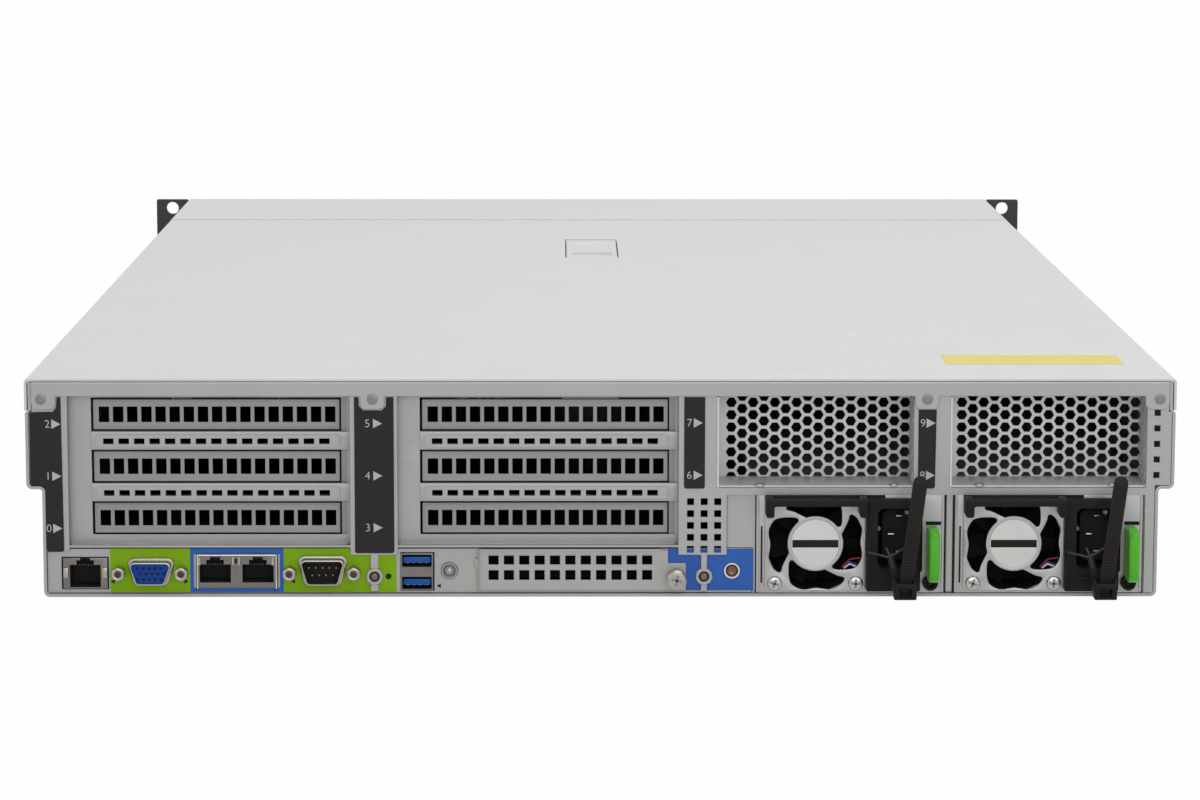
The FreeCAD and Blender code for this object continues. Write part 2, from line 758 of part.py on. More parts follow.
def mezzanine_cover():
    """The blanking plate over the mezzanine card opening: two rows of eleven square openings."""
    body = pad("MezzanineCover", "XZ_Plane", [
        [("168 - span / 2", "2.4"), ("250 - span / 2", "2.4"), ("250 - span / 2", "11"),
         ("242.2 - span / 2", "11"), ("242.2 - span / 2", "18"), ("168 - span / 2", "18")],
    ], "1")
    hole = drill(body, "XZ_Plane", [rect("172.2 - span / 2", "5.6", "3.9", "3.9")])
    repeat(body, hole, [("H_Axis", "11", "6"), ("V_Axis", "2", "6")])
    put(body, y="wall - 1.1")
    bore = post("245.9 - span / 2", "-2", "6.8", "3.4", "5", 12)
    node("mezzanine_cover", cut(body, [bore], "MezzanineCoverWhole"))


def rear_screws():
    """Captive riser screws, the mezzanine thumb screw and the flat beam rivets."""
    made = []
    for x in ("strip_b + 9.5", "strip_c + 9.25"):
        head = post(x, "-1.4", "8", "5", "1.3", 12)
        slot = box(x + " - 1.6", "-1.8", "7.7", "3.2", "1", "0.6")
        made.append(cut(head, [slot], "CaptiveScrew"))
    knob = post("245.9 - span / 2", "-7", "6.8", "7.8", "7", 16)
    recess = post("245.9 - span / 2", "-7.5", "6.8", "4", "2", 6)
    made.append(cut(knob, [recess], "ThumbScrew"))
    for x in TABS:
        made.append(post(x, "-wall - 0.6", "rim_low - 0.8", "4", "0.55", 12, name="Rivet"))
    group("rear_screws", made)


def push_button(label, x, radius):
    """A small push button with a stem, which slides through the port plate."""
    node(label, post(x, "0.2", BUTTON_Z, "2 * %s" % radius, "7", 16))


# ----------------------------------------------------------------------------- power supplies

def swirl_guard():
    """A stamped fan guard: a hub disc held by four arms that sweep round to the corners."""
    ring, reach, thick = number("guard_ring"), number("psu_fan_bore") - 0.4, number("guard_thick")
    plate = Part.makeBox(39.6, thick, 37.6, Vector(-19.8, 0, -19.2))
    openings = []

    def polar(radius, angle):
        return (radius * math.cos(math.radians(angle)), radius * math.sin(math.radians(angle)))

    for turn in range(4):
        base = 90 * turn + 12
        path = [
            polar(ring, base), ("arc", polar(ring, base + 30), polar(ring, base + 60)),
            polar(ring * 1.3, base + 48), polar(reach, base + 26),
            ("arc", polar(reach, base - 4), polar(reach, base - 34)),
            polar(ring * 1.3, base - 22),
        ]
        openings.append(flat_face(path).extrude(Vector(0, thick, 0)))
    return plate.cut(Part.makeCompound(openings))


def psu_case(centre):
    """The sheet housing with its fan bore and inlet pocket, the guard and its two lower screws."""
    left = "%s - psu_width / 2" % centre
    fan_x = "%s - fan_offset" % centre
    shell = box(left, "0", "psu_low", "psu_width", "psu_length", "psu_height")
    bore = post(fan_x, "-1", "psu_fan_height", "2 * psu_fan_bore", "psu_fan_depth + 1", 32)
    pocket = box("%s + 8.4" % centre, "-1", "9.8", "19.8", "15", "27.8")
    case = cut(shell, [bore, pocket], "Case")
    guard = solid("Guard", swirl_guard(), fan_x, "-guard_thick", "psu_fan_height")
    pieces = [case, guard]
    for side in (-15.9, 15.9):
        pieces.append(post("%s + %g" % (fan_x, side), "-guard_thick - 1.2", "psu_fan_height - 15.8",
                           "5.8", "1.2", 12, name="GuardScrew"))
    return pieces


def round_bar(radius, depth, sides):
    """A many-sided bar about Y, with its rear end at y = 0 and its corners at the radius."""
    turns = [2 * math.pi * i / sides for i in range(sides + 1)]
    rim = [Vector(radius * math.cos(turn), 0, radius * math.sin(turn)) for turn in turns]
    return Part.Face(Part.makePolygon(rim)).extrude(Vector(0, depth, 0))


def rotor_shape(hub, tip, depth, chord, count, lean=38.0, thick=1.0):
    """A fan rotor: a hub with slanted blades, turning about Y. Its rear face is at y = 0."""
    core = round_bar(hub, depth, 12)
    reach = math.sqrt(tip * tip - (chord / 2) ** 2)
    fins = []
    for i in range(count):
        fin = Part.makeBox(chord, thick, reach - hub * 0.9, Vector(-chord / 2, -thick / 2, hub * 0.9))
        fin.rotate(Vector(0, 0, 0), Vector(0, 0, 1), lean)
        fin.rotate(Vector(0, 0, 0), Vector(0, 1, 0), 360.0 * i / count)
        fin.translate(Vector(0, depth / 2, 0))
        fins.append(fin)
    return core.multiFuse(fins)


def power_supply(number_word, centre):
    """One hot-swap power supply."""
    fan_x = "%s - fan_offset" % centre
    group("psu_%s_case" % number_word, psu_case(centre))

    rotor = rotor_shape(number("psu_hub - 0.4"), number("psu_fan_bore - blade_gap"), 20.0, 9.0, 7)
    node("psu_%s_rotor" % number_word, solid("PsuRotor", rotor, fan_x, "1", "psu_fan_height"))
    axle = post(fan_x, "21.3", "psu_fan_height", "16", "psu_fan_depth - 21.3", 8)
    NODES["psu_%s_case" % number_word].Links += [axle]

    top = "psu_low + psu_height - 3.8"
    bar = box("%s - 19.8" % fan_x, "-12", top, "39.6", "4", "3.8")
    cheeks = []
    for side in ("-19.8", "16.4"):
        cheek = pad("Cheek", "YZ_Plane", [[("-12", top), ("-12", top + " + 3.8"), ("-1.2", top + " + 3.8"),
                                           ("-1.2", top + " - 6"), ("-4", top + " - 6")]], "3.4")
        cheeks.append(put(cheek, "%s + %s" % (fan_x, side)))
    node("psu_%s_handle" % number_word, fuse([bar] + cheeks, "Handle"))

    cavity = ("%s + 10.4" % centre, "-inlet_stand - 1", "inlet_low")
    block = cut(box("%s + 6.2" % centre, "-inlet_stand", "psu_low + 1.2", "21", "inlet_stand", "36.6"),
                [box(*cavity, "inlet_width", "inlet_stand + 2", "inlet_height")])
    socket = cut(box("%s + 8.6" % centre, "0", "inlet_low - 1.8", "inlet_width + 3.8", "inlet_depth + 2",
                     "inlet_height + 3.6"),
                 [box(*cavity, "inlet_width", "inlet_depth + inlet_stand + 1", "inlet_height")])
    pins = [box("%s + %g" % (centre, x), "4", z, "4", "8.2", "1.4", "Pin")
            for x, z in ((17.6, 31.0), (13.9, 23.9), (17.6, 16.8))]
    knob = post("%s + 31.4" % centre, "-2.4", "psu_low + 4.2", "6", "2.4", 12)
    group("psu_%s_inlet" % number_word, [fuse([block, socket, *pins], "Inlet"), knob])

    lever = pad("Release", "YZ_Plane", [[("-13", "13"), ("-13", "28"), ("-10", "30"), ("-0.3", "30"),
                                         ("-0.3", "9"), ("-10", "9")]], "4.2")
    put(lever, "%s + 29.8" % centre)
    node("psu_%s_release" % number_word, lever)

    band = pad("Band", "XZ_Plane", [[("17.2", "5"), ("22.8", "5"), ("28.2", "48"), ("27", "50.6"),
                                     ("24", "50.6"), ("22.6", "48")]], "1.4")
    put(band, centre, "-18")
    buckle = box("%s + 15.6" % centre, "-21", "2.6", "8.8", "7", "6.4")
    base = box("%s + 18" % centre, "-14.5", "3", "4", "10.4", "1.6")
    node("psu_%s_strap" % number_word, fuse([band, buckle, base], "Strap"))


def psu_cage():
    """The folded guide over and beside the two power supplies."""
    left, middle = "psu_left - psu_clear - 1", "psu_b - psu_width / 2 - psu_gap / 2 - 0.5"
    right = "psu_b + psu_width / 2 + psu_clear"
    low, under, top = "wall + 0.1", "bar_low - 0.1", "bar_low + 0.9"
    body = pad("PsuCage", "XZ_Plane", [[
        (left, low), (left, top), (right + " + 1", top), (right + " + 1", low), (right, low),
        (right, under), (middle + " + 1", under), (middle + " + 1", low), (middle, low),
        (middle, under), (left + " + 1", under), (left + " + 1", low),
    ]], "psu_length - 4")
    put(body, y="wall + 0.2")
    blank = box("grid_end + 0.4", "12", "18", "psu_left - psu_clear - 1 - grid_end - 0.4", "1", "22")
    node("psu_cage", fuse([body, blank], "PsuCageWhole"))


# ----------------------------------------------------------------------------- inside

def motherboard():
    """The main board on its standoffs, and an upright riser board beside each riser cage wall."""
    board = pad("Board", "XY_Plane", [[
        ("-in_low + 1.6", "23"), ("psu_left - 4", "23"), ("psu_left - 4", "psu_length + 6"),
        ("in_low - 1.6", "psu_length + 6"), ("in_low - 1.6", "fan_row - 14"),
        ("-in_low + 1.6", "fan_row - 14"),
    ]], "board_thick")
    put(board, z="board_low")
    posts = [post(x, y, "wall", "6", "board_rise", 6, "z", "Standoff")
             for x in ("-span / 2 + 20", "-20") for y in ("40", "psu_length - 20", "fan_row - 40")]
    risers = []
    for start in ("window_a", "window_b"):
        risers.append(box("%s + riser_window - 1.3 - board_thick" % start, "12", "board_top",
                          "board_thick", "150", "70", "RiserBoard"))
    group("motherboard", [board] + posts + risers + memory_modules())


def heatsinks():
    """Two finned processor coolers."""
    made = []
    for side in (-1, 1):
        base = box("%d * span / 4 - 39" % side, "psu_length + 60", "board_top + 2.2", "78", "100", "5")
        seat = box("%d * span / 4 - 30" % side, "psu_length + 75", "board_top", "60", "70", "2.2")
        fins = [box("%d * span / 4 - 39 + %g" % (side, i * 6.4), "psu_length + 60", "board_top + 7.2",
                    "1.2", "100", "56") for i in range(13)]
        made.append(fuse([seat, base] + fins, "Heatsink"))
    group("heatsinks", made)


def memory_modules():
    """Four banks of four upright memory modules beside the coolers."""
    made = []
    for side in (-1, 1):
        for bank in (-1, 1):
            for i in range(4):
                x = "%d * span / 4 + %g" % (side, bank * (50 + 9 * i))
                made.append(box(x, "psu_length + 44", "board_top", "1.4", "133", "31", "Module"))
    return made


def air_duct():
    """The plastic duct that leads the fans' air over the coolers and memory."""
    half = [("in_low - 3", "board_top + 0.3"), ("in_low - 3", "duct_top")]
    inner = [("in_low - 4.6", "duct_top - 1.6"), ("in_low - 4.6", "board_top + 0.3")]
    left_outer = [("-(%s)" % x, y) for x, y in reversed(half)]
    left_inner = [("-(%s)" % x, y) for x, y in reversed(inner)]
    body = pad("AirDuct", "XZ_Plane", [half + left_outer + left_inner + inner], "cpu_zone - 40")
    node("air_duct", put(body, y="psu_length + 20"))


FANS = ("one", "two", "three", "four")


def fan_wall():
    """Four framed fans. Each frame holds its motor boss on four struts, and the rotor faces it."""
    frames = []
    size, bore, deep = number("fan_size"), number("fan_bore"), number("fan_depth")
    for i, word in enumerate(FANS):
        x = "fan_pitch * %g" % (i - 1.5)
        z = "wall + 0.1 + fan_size / 2"
        shape = Part.makeBox(size, deep, size, Vector(-size / 2, 0, -size / 2))
        shape = shape.cut(round_bar(bore, deep, 24))
        hub = number("fan_hub")
        struts = [Part.makeBox(2 * hub, 3, 2 * hub, Vector(-hub, 0, -hub)),
                  Part.makeBox(size - 1, 3, 3, Vector(0.5 - size / 2, 0, -1.5)),
                  Part.makeBox(3, 3, size - 1, Vector(-1.5, 0, 0.5 - size / 2))]
        frames.append(solid("FanFrame", shape.multiFuse(struts), x, "fan_row", z))
        rotor = rotor_shape(number("fan_hub"), bore - number("blade_gap"), 26.0, 22.0, 7)
        node("fan_rotor_%s" % word, solid("FanRotor", rotor, x, "fan_row + 3.3", z))
    group("fan_frames", frames)


def drive_section():
    """The front: grille, drive cage, backplane, carriers and their levers."""
    grille = pad("Grille", "XZ_Plane", [
        rect("-in_low", "wall + seat_gap", "bay_start - 1.6 + in_low", "wall_top - wall - 2 * seat_gap"),
    ], "1.6")
    hole = drill(grille, "XZ_Plane", [rect("-in_low + 12", "12", "13", "60")])
    repeat(grille, hole, [("H_Axis", "14", "18.4")])
    put(grille, y="depth - 4")
    surround = pad("Surround", "XZ_Plane", [
        rect("bay_start - 1.6", "wall + seat_gap", "in_low - bay_start + 1.6", "wall_top - wall - 2 * seat_gap"),
        rect("bay_start - 0.4", "4.6", "8 * carrier_pitch + 0.8", "carrier_height + 0.6"),
    ], "1.6")
    put(surround, y="depth - 4")
    sides = [box(x, "backplane + 4", "wall + seat_gap", "1.2", "bay_length - 6", "carrier_height + 5")
             for x in ("bay_start - 1.6", "bay_end + 0.4")]
    roof = box("bay_start - 1.6", "backplane + 4", "carrier_height + 6.4", "8 * carrier_pitch + 3.2",
               "bay_length - 6", "1")
    group("drive_cage", [grille, fuse([surround, roof] + sides, "Cage")])

    board = box("bay_start - 1", "backplane", "wall + 0.1", "8 * carrier_pitch + 2", "2", "79")
    vents = [box("bay_start + 5 + %g" % (i * 36), "backplane - 1", "20", "24", "4", "8") for i in range(4)]
    node("drive_backplane", cut(board, vents, "Backplane"))

    for i in range(8):
        x = "bay_start + carrier_pitch * %g" % (i + 0.5)
        bezel = box(x + " - carrier_width / 2", "depth - bezel_depth", "4.9", "carrier_width",
                    "bezel_depth", "carrier_height")
        face = cut(bezel, [box(x + " - 5.4", "depth - bezel_depth - 1", "lever_length + 4", "10.8",
                               "20", "10"),
                           box(x + " - carrier_width / 2 + 1", "depth - lever_thick - 0.6", "8",
                               "carrier_width - 2", "lever_thick + 2", "lever_length - 7")])
        drive = box(x + " - drive_width / 2", "depth - bezel_depth - drive_length", "7.6",
                    "drive_width", "drive_length", "drive_height")
        node("drive_carrier_%d" % (i + 1), fuse([face, drive], "Carrier"))
        left, back = x + " - carrier_width / 2 + 1.4", "depth - lever_thick + 0.4"
        arm = box(left, back, "lever_pivot", "carrier_width - 2.8", "lever_thick - 1", "lever_length - 14")
        foot = rod(left, back + " + (lever_thick - 1) / 2", "lever_pivot", "(lever_thick - 1) / 2",
                   "carrier_width - 2.8", "x")
        node("carrier_lever_%d" % (i + 1), fuse([arm, foot], "Lever"))


def rack_ears():
    """The two rack ears: a flange with the rack holes and a moulded pod, on a bracket."""
    made = []
    for side in (-1, 1):
        start = "ear_edge" if side > 0 else "-ear_edge - ear_reach"
        beside = "low_half + ear_gap" if side > 0 else "-low_half - ear_gap - wing_thick"
        between = "low_half + ear_gap" if side > 0 else "-ear_edge"
        flange = box(start, "depth - ear_thick", "ear_lift", "ear_reach", "ear_thick", "height - ear_lift")
        wing = box(beside, "depth - wing_length", "4", "wing_thick", "wing_length", "wing_height")
        bridge = box(between, "depth - ear_thick", "4", "ear_edge - low_half - ear_gap", "ear_thick",
                     "wing_height")
        pod = box(start + " + 1.2", "depth", "pod_low", "ear_reach - 2.4", "ear_pod", "pod_height")
        holes = [rod("%d * rack_hole_spread / 2" % side, "depth - 10", z, "rack_hole", "20")
                 for z in ("rack_hole_low", "rack_hole_low + rack_hole_rise")]
        if side > 0:
            holes.append(post("ear_edge + ear_reach / 2", "depth + ear_pod / 2", "front_button_height",
                              "2 * front_button + 0.5", "ear_pod", 16))
        made.append(cut(fuse([flange, wing, bridge, pod]), holes, "Ear"))
    group("rack_ears", made)
    node("front_button", post("ear_edge + ear_reach / 2", "depth + ear_pod * 0.6", "front_button_height",
                              "2 * front_button", "7.2", 16))


def rail_studs():
    """Headed studs along each recessed side, which the slide rails hook onto."""
    made = []
    for side in (-1, 1):
        for y in ("60", "depth - 120"):
            start = "low_half" if side > 0 else "-low_half - stud_length"
            made.append(rod(start, y, "21", "stud_radius", "stud_length", "x", "Stud"))
    group("rail_studs", made)


# ----------------------------------------------------------------------------- build

chassis_tray()
covers()
cover_latch()
rear_panel()
rear_beam()
riser_cages()
slot_covers()
vent_frames()
label_strips()
port_plate()
port_shells()
port_inserts()
mezzanine_cover()
rear_screws()
push_button("uid_button", UID_X, "2.3")
push_button("power_button", POWER_X, "2.5")
power_supply("a", "psu_a")
power_supply("b", "psu_b")
psu_cage()
motherboard()
heatsinks()
air_duct()
fan_wall()
drive_section()
rack_ears()
rail_studs()

doc.recompute()
broken = [thing.Name for thing in doc.Objects if {"Invalid", "Error"} & set(thing.State)]
if broken:
    raise RuntimeError("failed objects: " + ", ".join(broken))
for label, thing in NODES.items():
    if thing.Shape.isNull() or not thing.Shape.isValid():
        raise RuntimeError("bad shape: " + label)
os.makedirs("parts", exist_ok=True)
for label, thing in NODES.items():
    thing.Shape.exportStep("parts/%s.step" % label)
    print("%-20s %3d solids" % (label, len(thing.Shape.Solids)))
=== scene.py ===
"""Dresses the two-unit rack server with its real finishes and fine pieces.
It also sets the floor, the lamps and the camera.

Shapes are given in millimetres: x to the right, y from the rear plane towards the front, z up.
"""
import math

import bmesh
import bpy
from mathutils import Matrix, Vector


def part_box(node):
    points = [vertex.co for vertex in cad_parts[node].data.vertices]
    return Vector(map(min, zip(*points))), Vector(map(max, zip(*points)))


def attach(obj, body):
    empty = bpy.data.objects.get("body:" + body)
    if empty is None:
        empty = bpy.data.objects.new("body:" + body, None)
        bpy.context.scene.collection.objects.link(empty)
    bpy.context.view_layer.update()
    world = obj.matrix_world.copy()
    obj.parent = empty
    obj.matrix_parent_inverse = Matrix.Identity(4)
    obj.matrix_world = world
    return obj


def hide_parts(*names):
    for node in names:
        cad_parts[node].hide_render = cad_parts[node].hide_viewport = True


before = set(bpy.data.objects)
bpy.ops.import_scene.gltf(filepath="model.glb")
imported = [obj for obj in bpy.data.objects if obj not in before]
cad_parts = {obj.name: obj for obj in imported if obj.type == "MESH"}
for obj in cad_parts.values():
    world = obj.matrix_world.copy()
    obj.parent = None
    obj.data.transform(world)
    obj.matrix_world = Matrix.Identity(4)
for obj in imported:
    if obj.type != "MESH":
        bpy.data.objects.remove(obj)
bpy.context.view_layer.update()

MM = 0.001
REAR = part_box("rear_panel")[0][1]
FRONT = (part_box("front_cover")[1][1] - REAR) / MM
TO_FRAME = Matrix.Translation((0, REAR, 0)) @ Matrix.Diagonal((MM, MM, MM, 1))


# ---------- finishes

class Wire:
    """A value inside a finish. Sums written with it become its nodes."""

    def __init__(self, finish, socket):
        self.finish, self.socket = finish, socket

    def sum(self, operation, *terms):
        node = self.finish.add("ShaderNodeMath", {"operation": operation}, dict(enumerate(terms)))
        return Wire(self.finish, node.outputs[0])

    def __add__(self, other):
        return self.sum("ADD", self, other)

    def __sub__(self, other):
        return self.sum("SUBTRACT", self, other)

    def __rsub__(self, other):
        return self.sum("SUBTRACT", other, self)

    def __mul__(self, other):
        return self.sum("MULTIPLY", self, other)

    __radd__, __rmul__ = __add__, __mul__

    def ramp(self, low, high):
        """0 below low, 1 above high, and smooth between them."""
        node = self.finish.add("ShaderNodeMapRange", {"interpolation_type": "SMOOTHSTEP"},
                               {"Value": self, "From Min": low, "From Max": high})
        return Wire(self.finish, node.outputs[0])


class Finish:
    """A material for one finish of the server, made of nodes that read the piece's own coordinates."""

    def __init__(self, name, colour, roughness, **sockets):
        self.material = bpy.data.materials.new(name)
        self.material.use_nodes = True
        self.tree = self.material.node_tree
        self.tree.nodes.clear()
        named = {key.replace("_", " ").title().replace("Ior", "IOR"): value for key, value in sockets.items()}
        named.update({"Base Color": (*colour, 1), "Roughness": roughness})
        self.shader = self.add("ShaderNodeBsdfPrincipled", {}, named)
        self.add("ShaderNodeOutputMaterial", {}, {"Surface": self.shader.outputs[0]})
        self.place = self.add("ShaderNodeTexCoord").outputs["Object"]

    def add(self, kind, settings=(), values=()):
        """A node of that kind, with its settings and then the values or links of its sockets."""
        node = self.tree.nodes.new(kind)
        for key, setting in dict(settings).items():
            setattr(node, key, setting)
        for key, value in dict(values).items():
            self.feed(node, key, value)
        return node

    def feed(self, node, key, value):
        socket = node.inputs[key] if isinstance(key, int) else next(
            one for one in node.inputs if key in (one.identifier, one.name))
        if isinstance(value, Wire):
            value = value.socket
        if isinstance(value, bpy.types.NodeSocket):
            self.tree.links.new(value, socket)
        else:
            socket.default_value = value

    def grain(self, size, detail=2.0, stretch=(1, 1, 1)):
        """Soft noise with blotches about size millimetres across, drawn out by stretch."""
        spread = self.add("ShaderNodeMapping", {"vector_type": "POINT"}, {
            "Vector": self.place, "Scale": [1 / (size * MM * part) for part in stretch]})
        noise = self.add("ShaderNodeTexNoise", {}, {
            "Vector": spread.outputs[0], "Scale": 1.0, "Detail": detail})
        return Wire(self, noise.outputs[0])

    def blend(self, first, second, factor):
        """The colour that goes from first to second as factor rises."""
        node = self.add("ShaderNodeMix", {"data_type": "RGBA"}, {
            "Factor_Float": factor, "A_Color": self.colour(first), "B_Color": self.colour(second)})
        return Wire(self, next(one for one in node.outputs if one.identifier == "Result_Color"))

    @staticmethod
    def colour(value):
        return (*value, 1) if isinstance(value, (tuple, list)) and len(value) == 3 else value

    def bump(self, height, strength, depth):
        """Raise the surface by height, at most depth millimetres."""
        node = self.add("ShaderNodeBump", {}, {
            "Strength": strength, "Distance": depth * MM, "Height": height})
        self.feed(self.shader, "Normal", node.outputs[0])

    def set(self, **wires):
        for key, wire in wires.items():
            self.feed(self.shader, key.replace("_", " ").title(), wire)
        return self


def tint(colour, share):
    """The colour made lighter, or darker if share is below 1."""
    return tuple(min(1.0, part * share) for part in colour)


def rolled_sheet(name, colour, roughness, metallic, mottle=0.10):
    """Zinc-coated sheet: cloudy coating, faint rolling lines, and a few light rub marks."""
    it = Finish(name, colour, roughness, metallic=metallic)
    cloud = it.grain(26, 4)
    lines = it.grain(1.6, 3, (14, 1, 1))
    rub = it.grain(9, 6, (5, 1, 0.6)).ramp(0.62, 0.72)
    shade = it.blend(tint(colour, 1 - mottle), tint(colour, 1 + mottle), cloud * 0.7 + lines * 0.3)
    it.set(base_color=it.blend(shade, tint(colour, 1.12), rub * 0.35),
           roughness=roughness - 0.06 + cloud * 0.10 + lines * 0.05 - rub * 0.04)
    it.bump(it.grain(0.5, 2) * 0.7 + lines * 0.3, 0.10, 0.05)
    return it


def moulded(name, colour, roughness=0.5, grain=0.35, strength=0.25, lift=1.5, shine=0.25):
    """Moulded plastic with a fine spark-eroded grain and slightly polished patches."""
    it = Finish(name, colour, roughness, specular_ior_level=shine)
    fine, patch = it.grain(grain, 2), it.grain(12, 3)
    it.set(base_color=it.blend(tint(colour, 0.85), tint(colour, lift), fine * 0.35 + patch * 0.25),
           roughness=roughness - 0.08 + patch * 0.16)
    it.bump(fine, strength, 0.04)
    return it


def film(name, colour, roughness=0.45, mottle=0.05):
    """A printed label film, almost flat, with the sheet's faint waves showing through."""
    it = Finish(name, colour, roughness, specular_ior_level=0.2)
    wave, fine = it.grain(16, 2), it.grain(0.6, 3)
    it.set(base_color=it.blend(tint(colour, 1 - mottle), tint(colour, 1 + mottle), wave * 0.6 + fine * 0.4),
           roughness=roughness - 0.05 + wave * 0.12)
    it.bump(wave * 0.6 + fine * 0.4, 0.12, 0.05)
    return it


def plated(name, colour, roughness=0.22, metallic=1.0):
    """Bright plating with fine draw lines and duller spots."""
    it = Finish(name, colour, roughness, metallic=metallic)
    lines, spots = it.grain(0.5, 3, (1, 1, 6)), it.grain(2.5, 3)
    it.set(base_color=it.blend(tint(colour, 0.8), tint(colour, 1.1), spots),
           roughness=roughness - 0.05 + lines * 0.12 + spots * 0.08)
    it.bump(lines, 0.08, 0.03)
    return it


# SHEET and LIT_COVER are one zinc sheet in two shades: the cover's copy is lighter, painted light from above
# on the top, and the rear faces' copy is darker, painted shade.
SHEET = rolled_sheet("zinc_sheet", (0.40, 0.395, 0.39), 0.44, 0.45)
LIT_COVER = rolled_sheet("cover_sheet", (0.60, 0.60, 0.595), 0.45, 0.35, 0.04)
STEEL = rolled_sheet("supply_sheet", (0.41, 0.405, 0.40), 0.38, 0.55)
BRACKET = rolled_sheet("bracket_steel", (0.285, 0.28, 0.275), 0.42, 0.5)
SCREW = plated("screw_nickel", (0.46, 0.45, 0.435))
POST = plated("post_nickel", (0.40, 0.365, 0.335), 0.30)
# Dark disc for the threaded bore of each jack post: painted shade of the hole.
BORE = moulded("bore_painted_shade", (0.060, 0.042, 0.036), 0.5)
# Darkened gold for the contacts and pins deep in the sockets: painted shade.
SHADED_PIN = plated("pin_gold_shaded", (0.20, 0.135, 0.10), 0.35)
RIVET = plated("rivet_zinc", (0.24, 0.24, 0.24), 0.4, 0.6)
SHELL = plated("shell_nickel", (0.36, 0.34, 0.315), 0.28)
SPRING = plated("spring_nickel", (0.60, 0.58, 0.55), 0.28)
COPPER = plated("copper_screw", (0.16, 0.095, 0.075), 0.30)
PEG = moulded("peg_grey", (0.22, 0.21, 0.20), 0.5)
CONTACT = plated("contact_gold", (0.83, 0.62, 0.28), 0.25)
BLACK = moulded("black_plastic", (0.013, 0.011, 0.0105), 0.5, shine=0.12)
STRAP = moulded("strap_nylon", (0.017, 0.014, 0.0125), 0.50, 0.5, shine=0.15)
JACK = plated("jack_shield", (0.17, 0.16, 0.155), 0.34)
GREEN = moulded("green_plastic", (0.105, 0.54, 0.030), 0.36, 0.4, 0.10, 1.15)
BLUE = moulded("socket_blue", (0.004, 0.115, 0.46), 0.36, 0.4, 0.12, 1.1)
VIOLET = moulded("display_blue", (0.012, 0.068, 0.40), 0.5, 0.4, 0.12, 1.1, 0.1)
LABEL = film("label_black", (0.0195, 0.0155, 0.0165), 0.5)
LIME = film("label_lime", (0.255, 0.50, 0.002), 0.46)
NAVY = film("label_blue", (0.038, 0.145, 0.54), 0.46)
PALE = film("label_pale", (0.84, 0.83, 0.81), 0.5)
YELLOW = film("label_yellow", (0.76, 0.62, 0.15), 0.45)
INK = film("ink_white", (0.55, 0.54, 0.54), 0.6)
INK_DARK = film("ink_dark", (0.02, 0.02, 0.02), 0.6)
DARK = moulded("shadow_black", (0.006, 0.006, 0.006), 0.7)
GREY = moulded("ear_plastic", (0.045, 0.043, 0.042), 0.48)
LIGHT_GREY = moulded("lever_plastic", (0.13, 0.13, 0.135), 0.45)
BOARD = moulded("circuit_board", (0.006, 0.034, 0.018), 0.7, 0.8, 0.2, shine=0.03)
FIN = plated("fin_aluminium", (0.72, 0.72, 0.72), 0.34)
# Near-black heatsink fins: painted shade for the unlit inside of the case seen through the slots.
SHADE_FIN = moulded("fin_painted_shade", (0.020, 0.020, 0.021), 0.6, shine=0.1)
# A much lighter copy of the zinc sheet for the vents: painted light inside the deep recesses.
LIT_VENT_SHEET = rolled_sheet("vent_sheet", (0.66, 0.655, 0.65), 0.44, 0.3, 0.05)
CARRIER = rolled_sheet("carrier_paint", (0.055, 0.055, 0.058), 0.45, 0.2)
LAMP_GREEN = moulded("lamp_green", (0.05, 0.40, 0.08), 0.25)
RED_WIRE = moulded("wire_red", (0.30, 0.02, 0.03), 0.4)
BLUE_WIRE = moulded("wire_blue", (0.02, 0.04, 0.25), 0.4)
CHROME = plated("pin_chrome", (0.90, 0.90, 0.88), 0.16)
BLACK_SHEET = rolled_sheet("black_sheet", (0.030, 0.030, 0.032), 0.45, 0.1)
# The latch's copy of the zinc sheet, as light as the cover's: painted light from above.
LIT_LATCH_SHEET = rolled_sheet("latch_sheet_lit", (0.60, 0.60, 0.60), 0.45, 0.3, 0.03)


# ---------- shapes

TURN = {
    "x": Matrix.Rotation(math.radians(90), 4, "Y"), "y": Matrix.Rotation(math.radians(-90), 4, "X"),
    "-y": Matrix.Rotation(math.radians(90), 4, "X"), "z": Matrix.Identity(4),
}


def everything(bm):
    return bm.verts[:] + bm.edges[:] + bm.faces[:]


def soften(bm, edge, steps=2, which=None):
    """Round the sharp edges, or only those that which() picks."""
    sharp = [one for one in bm.edges if len(one.link_faces) == 2 and one.calc_face_angle() > 0.5
             and (which is None or which(one))]
    bmesh.ops.bevel(bm, geom=sharp, offset=edge, offset_type="OFFSET", segments=steps, profile=0.5,
                    affect="EDGES", material=-1, clamp_overlap=True)
    return bm


def block(x, y, z, dx, dy, dz, edge=0.0, steps=2, which=None):
    """A block from its low corner and its sides."""
    bm = bmesh.new()
    bmesh.ops.create_cube(bm, size=1.0)
    bmesh.ops.scale(bm, vec=(dx, dy, dz), verts=bm.verts)
    bmesh.ops.translate(bm, vec=(x + dx / 2, y + dy / 2, z + dz / 2), verts=bm.verts)
    return soften(bm, edge, steps, which) if edge else bm


def rod(x, y, z, radius, length, along="y", sides=24, edge=0.0):
    """A round bar that starts at x, y, z."""
    bm = bmesh.new()
    bmesh.ops.create_cone(bm, cap_ends=True, segments=sides, radius1=radius, radius2=radius, depth=length)
    bmesh.ops.translate(bm, vec=(0, 0, length / 2), verts=bm.verts)
    bmesh.ops.transform(bm, matrix=Matrix.Translation((x, y, z)) @ TURN[along], verts=bm.verts)
    return soften(bm, edge, 2, lambda one: one.calc_face_angle() > 1.2) if edge else bm


